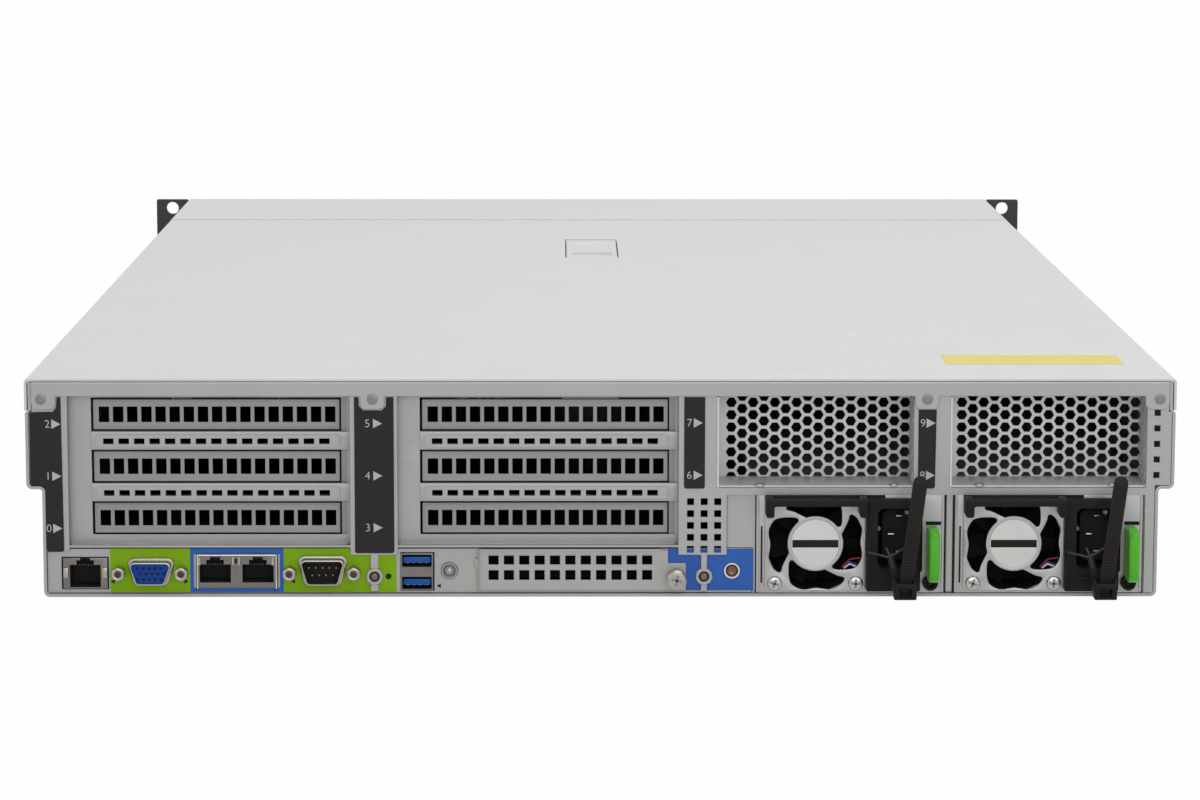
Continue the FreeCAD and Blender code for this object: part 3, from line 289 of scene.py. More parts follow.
def turned(profile, x, y, z, along="-y", sides=32, closed=False):
    """A turned shape. The profile holds (radius, distance along the axis) points."""
    bm = bmesh.new()
    line = [bm.verts.new((radius, 0, far)) for radius, far in profile]
    for first, second in zip(line, line[1:] + line[:1] if closed else line[1:]):
        bm.edges.new((first, second))
    bmesh.ops.spin(bm, geom=everything(bm), cent=(0, 0, 0), axis=(0, 0, 1), dvec=(0, 0, 0),
                   angle=2 * math.pi, steps=sides, use_merge=True, use_duplicate=False)
    bmesh.ops.remove_doubles(bm, verts=bm.verts, dist=1e-4)
    bmesh.ops.recalc_face_normals(bm, faces=bm.faces)
    bmesh.ops.transform(bm, matrix=Matrix.Translation((x, y, z)) @ TURN[along], verts=bm.verts)
    return bm


def thicken(bm, dx, dy, dz):
    """Give a flat sheet its thickness."""
    new = bmesh.ops.extrude_face_region(bm, geom=bm.faces[:])["geom"]
    spots = [one for one in new if isinstance(one, bmesh.types.BMVert)]
    bmesh.ops.translate(bm, vec=(dx, dy, dz), verts=spots)
    bmesh.ops.recalc_face_normals(bm, faces=bm.faces)
    return bm


def quarter_turn(bm, about):
    """Turn a shape by a right angle about the x or z axis."""
    bmesh.ops.rotate(bm, cent=(0, 0, 0), matrix=Matrix.Rotation(math.radians(90), 3, about), verts=bm.verts)
    return bm


def cutout(points, y, thick, edge=0.0, steps=2, which=None):
    """An upright sheet with that outline, from (x, z) points."""
    bm = bmesh.new()
    bm.faces.new([bm.verts.new((px, y, pz)) for px, pz in points])
    thicken(bm, 0, thick, 0)
    return soften(bm, edge, steps, which) if edge else bm


def rounded(x, z, wide, tall, radius, steps=5):
    """The corners of a rectangle with round corners."""
    spots = []
    for cx, cz, start in ((x + wide - radius, z + radius, -90), (x + wide - radius, z + tall - radius, 0),
                          (x + radius, z + tall - radius, 90), (x + radius, z + radius, 180)):
        for i in range(steps + 1):
            turn = math.radians(start + 90 * i / steps)
            spots.append((cx + radius * math.cos(turn), cz + radius * math.sin(turn)))
    return spots


def within(spot, rectangles):
    return any(x < spot.x < x + wide and z < spot.z < z + tall for x, z, wide, tall in rectangles)


def panel(keep, openings, y, thick, edge=0.0):
    """An upright sheet made up of rectangles, less its rectangular openings. Each is x, z, width, height."""
    bm = bmesh.new()
    both = list(keep) + list(openings)
    across = sorted({round(value, 3) for x, z, wide, tall in both for value in (x, x + wide)})
    up = sorted({round(value, 3) for x, z, wide, tall in both for value in (z, z + tall)})
    bmesh.ops.create_grid(bm, x_segments=1, y_segments=1, size=0.5)
    stand = Matrix.Translation((across[0], y, up[0])) @ Matrix.Rotation(math.radians(90), 4, "X") \
        @ Matrix.Diagonal((across[-1] - across[0], up[-1] - up[0], 1, 1)) @ Matrix.Translation((0.5, 0.5, 0))
    bmesh.ops.transform(bm, matrix=stand, verts=bm.verts)
    for lines, normal in ((across, (1, 0, 0)), (up, (0, 0, 1))):
        for value in lines[1:-1]:
            bmesh.ops.bisect_plane(bm, geom=everything(bm), dist=1e-5,
                                   plane_co=[part * value for part in normal], plane_no=normal)
    gone = [face for face in bm.faces if not within(face.calc_center_median(), keep)
            or within(face.calc_center_median(), openings)]
    bmesh.ops.delete(bm, geom=gone, context="FACES")
    thicken(bm, 0, thick, 0)
    return soften(bm, edge, 1) if edge else bm


def appended(bm, other, matrix=None):
    """Add another shape to bm."""
    mesh = bpy.data.meshes.new("loose")
    other.to_mesh(mesh)
    if matrix is not None:
        mesh.transform(matrix)
    bm.from_mesh(mesh)
    bpy.data.meshes.remove(mesh)
    return bm


def moved(bm, x=0.0, y=0.0, z=0.0, turn=0.0, centre=(0, 0, 0)):
    """Turn a shape about the y axis through centre, and then shift it."""
    middle = Matrix.Translation(centre)
    about_y = Matrix.Rotation(math.radians(turn), 4, "Y")
    step = Matrix.Translation((x, y, z)) @ middle @ about_y @ middle.inverted()
    bmesh.ops.transform(bm, matrix=step, verts=bm.verts)
    return bm


def loose_object(bm, name):
    mesh = bpy.data.meshes.new(name)
    bm.to_mesh(mesh)
    thing = bpy.data.objects.new(name, mesh)
    bpy.context.scene.collection.objects.link(thing)
    return thing


def carved(bm, *cutters):
    """The shape less the cutters."""
    tool = bmesh.new()
    for cutter in cutters:
        appended(tool, cutter)
        cutter.free()
    body, knife = loose_object(bm, "blank"), loose_object(tool, "knife")
    step = body.modifiers.new("Carve", "BOOLEAN")
    step.operation, step.solver, step.object, step.use_self = "DIFFERENCE", "EXACT", knife, True
    bpy.context.view_layer.update()
    made = bpy.data.meshes.new_from_object(body.evaluated_get(bpy.context.evaluated_depsgraph_get()))
    bm.free()
    tool.free()
    result = bmesh.new()
    result.from_mesh(made)
    for thing in (body, knife):
        mesh = thing.data
        bpy.data.objects.remove(thing)
        bpy.data.meshes.remove(mesh)
    bpy.data.meshes.remove(made)
    return result


def comb(x, z, wide, tall, pitch_x, count_x, pitch_z=1.0, count_z=1):
    """Rows of equal rectangles."""
    return [(x + i * pitch_x, z + j * pitch_z, wide, tall) for i in range(count_x) for j in range(count_z)]


def honeycomb(x, z, wide, tall, y, thick, pitch, flats, first_x, first_z, blank=lambda px: False):
    """A sheet with hexagonal openings in staggered columns, trimmed to its rectangle."""
    open_cell, shut_cell = bmesh.new(), bmesh.new()
    for bm in (open_cell, shut_cell):
        bmesh.ops.create_circle(bm, cap_ends=True, segments=6, radius=pitch / math.sqrt(3))
        quarter_turn(bm, "Z")
        quarter_turn(bm, "X")
    bmesh.ops.inset_region(open_cell, faces=open_cell.faces[:], thickness=(pitch - flats) / 2,
                           use_boundary=True, use_even_offset=True)
    middle = min(open_cell.faces, key=lambda face: face.calc_center_median().length)
    bmesh.ops.delete(open_cell, geom=[middle], context="FACES")
    column = pitch * math.sqrt(3) / 2
    low, high = math.floor((x - first_x) / column) - 1, math.ceil((x + wide - first_x) / column) + 1
    under, over = math.floor((z - first_z) / pitch) - 1, math.ceil((z + tall - first_z) / pitch) + 1
    sheet = bmesh.new()
    for i in range(low, high + 1):
        for j in range(under, over + 1):
            px, pz = first_x + i * column, first_z + (j + (0.5 if i % 2 else 0)) * pitch
            appended(sheet, shut_cell if blank(px) else open_cell, Matrix.Translation((px, y, pz)))
    bmesh.ops.remove_doubles(sheet, verts=sheet.verts, dist=0.01)
    for spot, normal in (((x, 0, 0), (-1, 0, 0)), ((x + wide, 0, 0), (1, 0, 0)),
                         ((0, 0, z), (0, 0, -1)), ((0, 0, z + tall), (0, 0, 1))):
        bmesh.ops.bisect_plane(sheet, geom=everything(sheet), dist=1e-4, plane_co=spot, plane_no=normal,
                               clear_outer=True)
    open_cell.free()
    shut_cell.free()
    return thicken(sheet, 0, thick, 0)


def glyph(text, x, z, size, y):
    """A plain printed numeral, centred at x, z."""
    curve = bpy.data.curves.new("numeral", "FONT")
    curve.body, curve.size, curve.extrude, curve.resolution_u, curve.offset = text, size, 0.02, 3, -0.03
    curve.align_x, curve.align_y = "CENTER", "CENTER"
    thing = bpy.data.objects.new("numeral", curve)
    bpy.context.scene.collection.objects.link(thing)
    bpy.context.view_layer.update()
    mesh = bpy.data.meshes.new_from_object(thing.evaluated_get(bpy.context.evaluated_depsgraph_get()))
    bm = bmesh.new()
    bm.from_mesh(mesh)
    bpy.data.objects.remove(thing)
    bpy.data.curves.remove(curve)
    bpy.data.meshes.remove(mesh)
    stand = Matrix.Translation((x, y, z)) @ Matrix.Rotation(math.radians(90), 4, "X")
    bmesh.ops.transform(bm, matrix=stand, verts=bm.verts)
    return bm


class Piece:
    """One visible piece: shapes with their finishes, joined in one object that rides on a body."""

    def __init__(self, name):
        self.name, self.bm, self.finishes = name, bmesh.new(), []

    def add(self, finish, *shapes):
        if finish not in self.finishes:
            self.finishes.append(finish)
        for shape in shapes:
            for face in shape.faces:
                face.material_index = self.finishes.index(finish)
                face.smooth = True
            appended(self.bm, shape)
            shape.free()
        return self

    def ride(self, body, slot, *nodes):
        """Put the piece on its body. It stands for the nodes, if any are named."""
        mesh = bpy.data.meshes.new(self.name)
        self.bm.to_mesh(mesh)
        self.bm.free()
        mesh.transform(TO_FRAME)
        for finish in self.finishes:
            mesh.materials.append(finish.material)
        mesh.set_sharp_from_angle(angle=math.radians(34))
        thing = bpy.data.objects.new(self.name, mesh)
        bpy.context.scene.collection.objects.link(thing)
        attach(thing, body)
        if nodes:
            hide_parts(*nodes)
        return thing


# ---------- sizes shared by the pieces

WALL = 1.2
WINDOWS, WINDOW_WIDE, WINDOW_LOW, LEDGE_LOW = (-207.2, -79.3), 109.5, 20.4, 19.6
VENTS = (45.0, 135.8)
CELL, CELL_OPEN, CELL_ROW = 4.95, 3.75, 48.55
VENT_WIDE, VENT_DEEP, VENT_LOW, RIM_LOW, WALL_TOP = 76.7, 22.0, 43.0, 79.4, 84.8
SLOT_ROWS = (30.5, 50.9, 71.4)
TABS = (-216.2, -88.8, 126.6, 216.2)
SUPPLIES = (("a", 97.35), ("b", 174.85))
FAN_ASIDE, FAN_HIGH, GUARD_HALF = 13.7, 21.2, 19.8
BAY_START, CARRIER_PITCH, CARRIERS = 67.8, 17.8, 8
EAR_HOLE, EAR_HOLE_ROWS = 232.55, (5.0, 81.2)
BUTTON_ASIDE, BUTTON_HIGH = 232.6, 50.0


def repaint(finish, *nodes):
    """Give modelled nodes their finish."""
    for name in nodes:
        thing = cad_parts[name]
        if not thing.material_slots:
            thing.data.materials.append(finish.material)
        for place in thing.material_slots:
            place.material = finish.material


# ---------- rear wall

def rear_wall():
    """The folded rear panel: windows, vent grid, captive-screw tabs and the row of locating holes."""
    keep = [
        (-222.1, 44.1, 444.2, 29.0), (-220.9, 73.1, 441.8, 10.4), (-216.0, 18.0, 8.8, 26.1),
        (-97.7, 16.6, 18.4, 30.0),
        (30.2, 16.6, 18.9, 30.0), (49.1, 40.2, 163.3, 5.0), (212.3, 1.4, 3.7, 45.0),
        (-89.9, 2.2, 3.0, 14.4), (39.1, 2.2, 2.3, 14.4),
    ] + [(x, LEDGE_LOW, WINDOW_WIDE, 1.8) for x in WINDOWS]
    openings = [(x, WINDOW_LOW, WINDOW_WIDE, RIM_LOW - WINDOW_LOW) for x in WINDOWS]
    openings += [(x, VENT_LOW, VENT_WIDE, RIM_LOW - VENT_LOW) for x in VENTS]
    openings += comb(33.55, 17.4, 2.7, 2.7, 5.3, 3, 4.72, 5)
    openings += comb(215.3, 46.9, 2.4, 2.4, 1, 1, 6.14, 5)
    openings += [(-91.6, 4.8, 6.4, 6.4), (37.0, 4.8, 6.5, 6.4)]
    wall = Piece("rear_wall").add(SHEET, panel(keep, openings, 0, WALL, 0.18))
    for x, z in ((-88.4, 8.0), (40.25, 8.0)):
        wall.add(SHEET, turned([(1.9, 0.0), (2.2, 0.55), (2.9, 0.6), (3.3, 0.3), (3.3, -1.1), (1.9, -1.1)],
                               x, 0, z, sides=32, closed=True))
    wall.add(SHEET, block(134.7, 0.5, 1.6, 2.7, 60.0, 39.2, 0.3, 1))
    wall.ride("chassis", "sheet", "rear_panel")


def rivet(x, y, z, radius, high=0.5):
    """A flat-topped rivet with a small dimple."""
    return turned([(0, high * 0.55), (radius * 0.42, high * 0.6), (radius * 0.5, high),
                   (radius * 0.82, high * 0.9), (radius, high * 0.35), (radius, -0.2), (0, -0.2)],
                  x, y, z, sides=24)


def rear_beam():
    """The beam across the top with its four riveted tabs."""
    shape = panel([(-220.9, RIM_LOW, 441.8, WALL_TOP - RIM_LOW)] +
                  [(x - 4.7, 74.2, 9.4, 6.0) for x in TABS], [], -WALL, WALL)
    soften(shape, 2.4, 4, lambda one: abs(one.verts[0].co.y - one.verts[1].co.y) > 1
           and max(spot.co.z for spot in one.verts) < 75)
    soften(shape, 0.25, 1, lambda one: one.calc_face_angle() > 1.2)
    fold = block(-220.9, -0.6, WALL_TOP - WALL, 441.8, 12.6, WALL, 0.5, 2)
    Piece("rear_beam").add(SHEET, shape, fold).ride("chassis", "sheet", "rear_beam")
    dots = Piece("beam_rivets")
    for x in (-217.2, -88.8, 126.7, 217.1):
        dots.add(RIVET, rivet(x, -WALL, 78.2, 2.1))
    dots.ride("chassis", "nickel")


NUMBERS = (
    (-213.3, -214.9, 3.6, (("2", 68.4), ("1", 47.9), ("0", 27.3))),
    (-88.6, -90.8, 3.5, (("5", 68.6), ("4", 48.0), ("3", 27.5))),
    (36.0, 34.3, 3.5, (("7", 68.8), ("6", 48.2))),
    (126.5, 125.1, 3.5, (("9", 68.7), ("8", 48.1))),
)


def number_strips():
    """The dark number strips and their printed slot numbers and arrows."""
    strips = Piece("number_strips")
    first = [(-221.8, 73.0), (-221.9, 44.6), (-221.2, 43.9), (-216.4, 43.9), (-216.1, 43.4), (-216.0, 18.6),
             (-215.4, 18.0), (-209.8, 18.0), (-209.2, 18.6), (-209.6, 78.9), (-211.0, 78.9), (-211.3, 75.0),
             (-212.6, 73.2)]
    strips.add(LABEL, cutout(first, -0.4, 0.38))
    notch = [(-95.9, 18.0), (-95.3, 17.4), (-81.2, 17.4), (-80.6, 18.0), (-80.6, 78.9), (-83.4, 78.9),
             (-83.6, 75.3), (-85.2, 73.7), (-92.4, 73.7), (-94.0, 75.3), (-94.2, 78.9), (-95.9, 78.9)]
    strips.add(LABEL, cutout(notch, -0.4, 0.38))
    strips.add(LABEL, cutout([(32.3, 43.5), (32.9, 42.9), (39.8, 42.9), (40.4, 43.5), (40.4, 78.9),
                              (32.3, 78.9)], -0.4, 0.38))
    strips.add(LABEL, cutout([(123.5, 43.5), (124.1, 42.9), (129.5, 42.9), (130.1, 43.5), (130.4, 73.9),
                              (123.4, 73.9)], -0.4, 0.38))
    for point, digit, reach, rows in NUMBERS:
        for text, z in rows:
            strips.add(INK, cutout([(point, z - 1.85), (point + reach, z), (point, z + 1.85)], -0.44, 0.03),
                       glyph(text, digit, z - 0.1, 4.4, -0.43))
    strips.ride("chassis", "black_plastic", "label_strips")


def riser_brackets():
    """The two riser brackets: recessed plate, raised ribs with their slots, and the wall behind."""
    for i, start in enumerate(WINDOWS):
        it = Piece("riser_bracket_%d" % (i + 1))
        bays = [(start + 8.7, row - 6.6, 99.4, 13.2) for row in SLOT_ROWS]
        for row in SLOT_ROWS[:2]:
            bays += comb(start + 13.4, row + 8.95, 4.1, 2.3, 6.0, 15)
        it.add(SHEET, panel([(start - 0.6, LEDGE_LOW, WINDOW_WIDE + 1.2, 63.2)], bays, 5.0, WALL, 0.2))
        for row in SLOT_ROWS[:2]:
            middle = row + 10.25
            slots = comb(start + 13.4, middle - 1.3, 4.1, 2.3, 6.0, 15)
            flat = panel([(start + 8.9, middle - 3.6, WINDOW_WIDE - 8.9, 7.2)], slots, 4.1, 0.9)
            soften(flat, 0.3, 2, lambda one: one.calc_face_angle() > 1.2 and all(
                spot.co.y < 4.15 and abs(spot.co.z - middle) > 3 for spot in one.verts))
            it.add(SHEET, flat)
            bead = panel([(start + 10.6, middle - 2.4, 94.6, 4.8)], slots, 3.4, 0.8)
            ends = (start + 10.7, start + 105.1)
            soften(bead, 2.3, 5, lambda one: abs(one.verts[0].co.y - one.verts[1].co.y) > 0.3
                   and (one.verts[0].co.x < ends[0] or one.verts[0].co.x > ends[1]))
            soften(bead, 0.45, 3, lambda one: one.calc_face_angle() > 1.2 and all(
                spot.co.y < 3.45 and (abs(spot.co.z - middle) > 1.5 or spot.co.x < ends[0] + 2.4
                                     or spot.co.x > ends[1] - 2.4) for spot in one.verts))
            it.add(SHEET, bead)
        it.add(SHEET, block(start + WINDOW_WIDE - 1.0, 5.4, LEDGE_LOW, WALL, 170.0, 63.2))
        it.add(SHEET, block(start + 0.2, 3.2, 19.7, WINDOW_WIDE - 1.2, 2.4, 0.8, 0.2, 1))
        it.add(BRACKET, block(start + 105.9, 6.4, 19.9, 3.2, 0.8, 62.6))
        it.ride("chassis", "sheet", *(["riser_cages"] if i == 0 else []))


def slot_covers():
    """Six blank slot covers: a plate with a row of seventeen openings inside a shallow rolled rim."""
    it = Piece("slot_covers")
    for start in WINDOWS:
        for row in SLOT_ROWS:
            x, z = start + 9.5, row - 6.0
            holes = comb(x + 2.2, row - 3.1, 4.05, 6.1, 5.5, 17)
            it.add(BRACKET, panel([(x + 0.6, z + 0.6, 94.7, 10.8)], holes, 5.35, 0.6, 0.1))
            rim = panel([(x, z, 95.9, 12.0)], [(x + 0.95, z + 0.95, 94.0, 10.1)], 5.0, 0.9, 0.28)
            it.add(BRACKET, rim)
    it.ride("chassis", "sheet", "slot_covers")


def vents():
    """Two deep vents with a fine honeycomb across the back and down the right-hand wall, in a lighter copy of
    the zinc sheet: painted light inside the recesses.
    """
    low, high = VENT_LOW + 0.8, 38.6
    for i, start in enumerate(VENTS):
        it = Piece("vent_%d" % (i + 1))
        back = WALL + VENT_DEEP
        margin = start + 5.0 if i == 0 else start + 5.2
        it.add(LIT_VENT_SHEET, honeycomb(start, low, VENT_WIDE, high, back, 0.8, CELL, CELL_OPEN,
                                     margin + 1.6, CELL_ROW, lambda px: px < margin))
        side = honeycomb(0, low, VENT_DEEP, high, 0, 0.7, CELL, CELL_OPEN, 3.2, CELL_ROW,
                         lambda px: px < 3.0)
        quarter_turn(side, "Z")
        it.add(LIT_VENT_SHEET, moved(side, start + VENT_WIDE + 0.7, WALL, 0))
        it.add(LIT_VENT_SHEET, block(start - 0.8, WALL, low - 0.8, 0.8, VENT_DEEP + 0.8, high + 0.8))
        it.add(LIT_VENT_SHEET, block(start - 0.8, WALL, low - 0.8, VENT_WIDE + 1.6, VENT_DEEP + 0.8, 0.8, 0.2, 1))
        it.add(LIT_VENT_SHEET, block(start, 0, VENT_LOW + 0.05, 1.0, 1.3, 36.0, 0.2, 1))
        for x in (start + (16.9, 11.8)[i], start + (69.2, 63.8)[i]):
            it.add(STEEL, turned([(0, 1.0), (0.9, 0.95), (1.7, 0.6), (2.2, 0), (2.2, -0.2), (0, -0.2)],
                                 x, 2.6, low, "z", 20))
        it.ride("chassis", "sheet", *(["vent_frames"] if i == 0 else []))


# ---------- ports

PLATE_TOP = 19.0


def port_plate():
    """The port plate: its openings, the coloured films behind the sockets, and painted shadow strips below the
    riser windows.
    """
    plate = panel(
        [(-216.0, 1.4, 275.0, PLATE_TOP - 1.4)],
        [(-210.5, 2.8, 18.3, 12.9), (-182.2, 6.2, 13.2, 7.6), (-158.0, 3.2, 31.8, 13.8),
         (-115.6, 6.2, 14.0, 8.4), (-78.3, 2.2, 13.2, 15.2), (-46.2, 4.0, 69.0, 12.0),
         (-61.0, 8.5, 3.6, 3.6), (49.4, 8.4, 3.6, 3.6)], 1.4, 1.0, 0.1)
    it = Piece("port_plate").add(SHEET, plate)
    films = Piece("port_films")
    films.add(LIME, panel([(-191.6, 1.7, 31.2, 17.3)], [(-182.4, 6.0, 13.6, 8.0)], 1.22, 0.16))
    films.add(LIME, panel([(-123.9, 1.7, 44.0, 17.3)],
                          [(-115.8, 6.0, 14.4, 8.8), (-84.0, 7.0, 1.9, 1.9)], 1.22, 0.16))
    films.add(NAVY, panel([(-160.4, 1.7, 36.5, 17.3)], [(-159.0, 3.4, 33.6, 13.4)], 1.23, 0.16))
    films.add(NAVY, panel([(26.2, 2.2, 33.4, 16.6)], [(49.1, 8.1, 4.2, 4.2)], 1.22, 0.16))
    for x, z, way in ((-189.9, 5.9, -1), (-162.7, 5.9, 1), (-119.5, 5.9, -1), (-62.6, 4.1, -1)):
        films.add(INK_DARK, cutout([(x, z - 0.9), (x + 1.7 * way, z), (x, z + 0.9)], 1.19, 0.02))
    films.add(DARK, rod(-83.0, 1.15, 7.9, 1.15, 0.3, "y", 20))
    # Dark strips along the foot of each riser window: painted shadow between the port plate and the riser
    # flange.
    films.add(DARK, *[block(start, 1.25, 18.9, WINDOW_WIDE, 0.12, 1.2) for start in WINDOWS])
    it.add(SHEET, block(49.3, 1.5, 19.3, 10.6, 0.8, 21.0))
    it.ride("chassis", "sheet", "io_plate")
    films.ride("chassis", "sheet")


def hex_post(x, z):
    """A hexagonal jack post with a rounded end; its threaded bore is a dark disc of painted shade."""
    nut = rod(x, -4.4, z, 2.75, 5.6, "y", 6, 0.3)
    collar = turned([(1.35, 4.4), (2.0, 4.7), (2.45, 4.3), (2.6, 3.6), (1.35, 3.6)], x, 0, z,
                    sides=24, closed=True)
    return [nut, collar], rod(x, -4.62, z, 1.3, 0.5, "y", 16)


def network_jack(it, left, low, tall, wide):
    """A shielded network jack: adds its dark back and contacts, and gives the cutters of its opening."""
    y = 0.9
    mouth = block(left, y - 2, low, wide, 16, tall)
    steps = block(left + wide * 0.22, y - 2, low + tall - 0.1, wide * 0.56, 16, 1.9)
    latch = block(left + wide * 0.34, y - 2, low + tall + 1.7, wide * 0.32, 16, 1.3)
    it.add(DARK, block(left + 0.1, y + 9.0, low + 0.1, wide - 0.2, 0.6, tall - 0.2))
    for i in range(8):
        # The contacts use the darkened gold: painted shade deep in the jack.
        it.add(SHADED_PIN, block(left + wide / 2 - 4.3 + i * 1.16, y + 6.2, low + tall - 1.3, 0.35, 2.8, 0.3))
    return [mouth, steps, latch]


def sockets():
    """The network and fast serial-bus sockets with their contacts."""
    it = Piece("network_sockets")
    cutters = network_jack(it, -207.3, 3.7, 8.9, 12.0)
    single = carved(block(-210.0, 1.0, 3.0, 17.4, 20, 12.4, 0.3, 2), *cutters)
    it.add(JACK, single)
    for x in (-209.8, -194.6):
        it.add(SHELL, block(x, -0.2, 7.5, 2.0, 1.3, 4.1, 0.25, 2))
    pair = network_jack(it, -156.7, 5.6, 7.2, 12.2) + network_jack(it, -140.0, 5.6, 7.2, 12.2)
    twin = carved(block(-157.9, 0.6, 3.3, 31.6, 20, 13.6, 0.3, 2), *pair)
    it.add(JACK, twin)
    for x in (-157.4, -144.2, -141.8, -128.7):
        it.add(SHELL, block(x, -0.1, 12.4, 1.2, 0.9, 3.4, 0.2, 1))
    it.add(SPRING, block(-157.6, -0.2, 16.2, 31.0, 1.0, 0.5, 0.15, 1),
           block(-157.7, -0.2, 3.2, 0.5, 1.0, 13.2, 0.1, 1), block(-127.0, -0.2, 3.2, 0.5, 1.0, 13.2, 0.1, 1))
    for x in (-143.0, -141.4):
        it.add(DARK, block(x, 0.5, 13.2, 0.9, 0.3, 1.9))
    bus = carved(block(-78.3, 0.6, 2.4, 12.8, 19, 14.8, 0.3, 2),
                 block(-77.7, -1, 2.95, 11.6, 12, 4.9, 0.3, 1),
                 block(-77.7, -1, 11.75, 11.6, 12, 4.9, 0.3, 1))
    it.add(JACK, bus)
    for low in (4.4, 13.2):
        it.add(BLUE, block(-77.2, 1.4, low, 10.6, 3.4, 2.4, 0.25, 2))
        # Dark tongue behind the blue front, dark back wall and dark lining: painted shade deep in each cavity.
        it.add(DARK, block(-77.2, 4.6, low + 0.1, 10.6, 5.0, 2.2),
               block(-77.6, 9.0, low - 1.4, 11.4, 0.5, 4.6),
               panel([(-77.75, low - 1.5, 11.7, 5.0)], [(-77.45, low - 1.2, 11.1, 4.4)], 0.9, 8.2))
        for i in range(4):
            it.add(CONTACT, block(-76.0 + i * 2.4, 2.0, low - 0.12, 1.1, 6, 0.15))
    it.ride("chassis", "nickel", "port_shells")


def d_outline(x, z, wide, tall, inset, slope=1.9, radius=1.9):
    """A D outline with round corners. The upper edge is the wider one."""
    corners = [(x + slope + inset * 0.8, z + inset, 225), (x + wide - slope - inset * 0.8, z + inset, 315),
               (x + wide - inset, z + tall - inset, 45), (x + inset, z + tall - inset, 135)]
    spots = []
    r = radius - inset * 0.6
    for px, pz, facing in corners:
        cx = px + (r * 1.02 if 90 < facing < 270 else -r * 1.02)
        cz = pz + (r if facing > 180 else -r)
        for i in range(6):
            turn = math.radians(facing - 45 + 90 * i / 5)
            spots.append((cx + r * math.cos(turn), cz + r * math.sin(turn)))
    return spots


def d_sockets():
    """The display and serial sockets: flanged D shells round their plastic cores."""
    rows = {"display_socket": (-183.7, 5.3, 16.2, 9.2, VIOLET),
            "serial_socket": (-117.2, 5.2, 17.2, 10.2, DARK)}
    for name, (x, z, wide, tall, core) in rows.items():
        it = Piece(name)
        shell = carved(cutout(d_outline(x, z, wide, tall, 0), -4.6, 9.0, 0.35, 2, lambda one: all(
            spot.co.y < -4.5 for spot in one.verts)), cutout(d_outline(x, z, wide, tall, 0.62), -6, 12))
        flange = carved(cutout(d_outline(x - 1.1, z - 0.9, wide + 2.2, tall + 1.8, 0, 1.9, 2.6),
                               -0.2, 1.5, 0.6, 3, lambda one: all(spot.co.y < -0.1 for spot in one.verts)),
                        cutout(d_outline(x, z, wide, tall, 0.3), -3, 6))
        it.add(SHELL, shell, flange)
        mid = x + wide / 2
        if name == "display_socket":
            it.add(core, cutout(d_outline(x, z, wide, tall, 0.72), -3.9, 7.0))
            # Dark discs for the pin holes: painted shade, the holes are not cut.
            for row, shift in ((2.2, 0.0), (0.0, 1.14), (-2.2, 0.0)):
                for i in range(5):
                    it.add(DARK, rod(mid - 4.9 + i * 2.29 + shift, -4.0, z + tall / 2 + row, 0.62, 0.2,
                                     "y", 16))
        else:
            it.add(core, cutout(d_outline(x, z, wide, tall, 0.72), 0.8, 3.0))
            # The pins use the darkened gold: painted shade inside the shell.
            for count, row in ((5, 1.5), (4, -1.4)):
                for i in range(count):
                    it.add(SHADED_PIN, rod(mid - (count - 1) * 1.33 + i * 2.66, -1.6, z + tall / 2 + row, 0.42, 3.0,
                                    "y", 12, 0.15))
        it.ride("chassis", "nickel", *(["serial_shell"] if name == "serial_socket" else ["port_inserts"]))
    posts = Piece("jack_posts")
    for x in (-188.1, -163.6, -121.5, -96.4):
        parts, bore = hex_post(x, 9.7)
        posts.add(POST, *parts)
        posts.add(BORE, bore)
    posts.ride("chassis", "nickel")


def cross_recess(x, y, z, size, deep, turn=20):
    """The cutter for a cross recess."""
    half = size * 0.24
    arms = (block(x - size, y - 1, z - half, 2 * size, 1 + deep, size * 0.48),
            block(x - half, y - 1, z - size, size * 0.48, 1 + deep, 2 * size))
    return [moved(arm, turn=turn, centre=(x, y, z)) for arm in arms]


def pan_screw(it, finish, x, y, z, radius, high, turn=20):
    """Add a pan-head screw with a cross recess."""
    head = turned([(0, high), (radius * 0.55, high * 0.96), (radius * 0.85, high * 0.7), (radius, high * 0.2),
                   (radius, -0.1), (0, -0.1)], x, y, z, sides=28)
    it.add(finish, carved(head, *cross_recess(x, y - high, z, radius * 0.62, high * 0.8, turn)))
    it.add(RIVET, *cross_recess(x, y - high * 0.45, z, radius * 0.6, -0.85, turn))


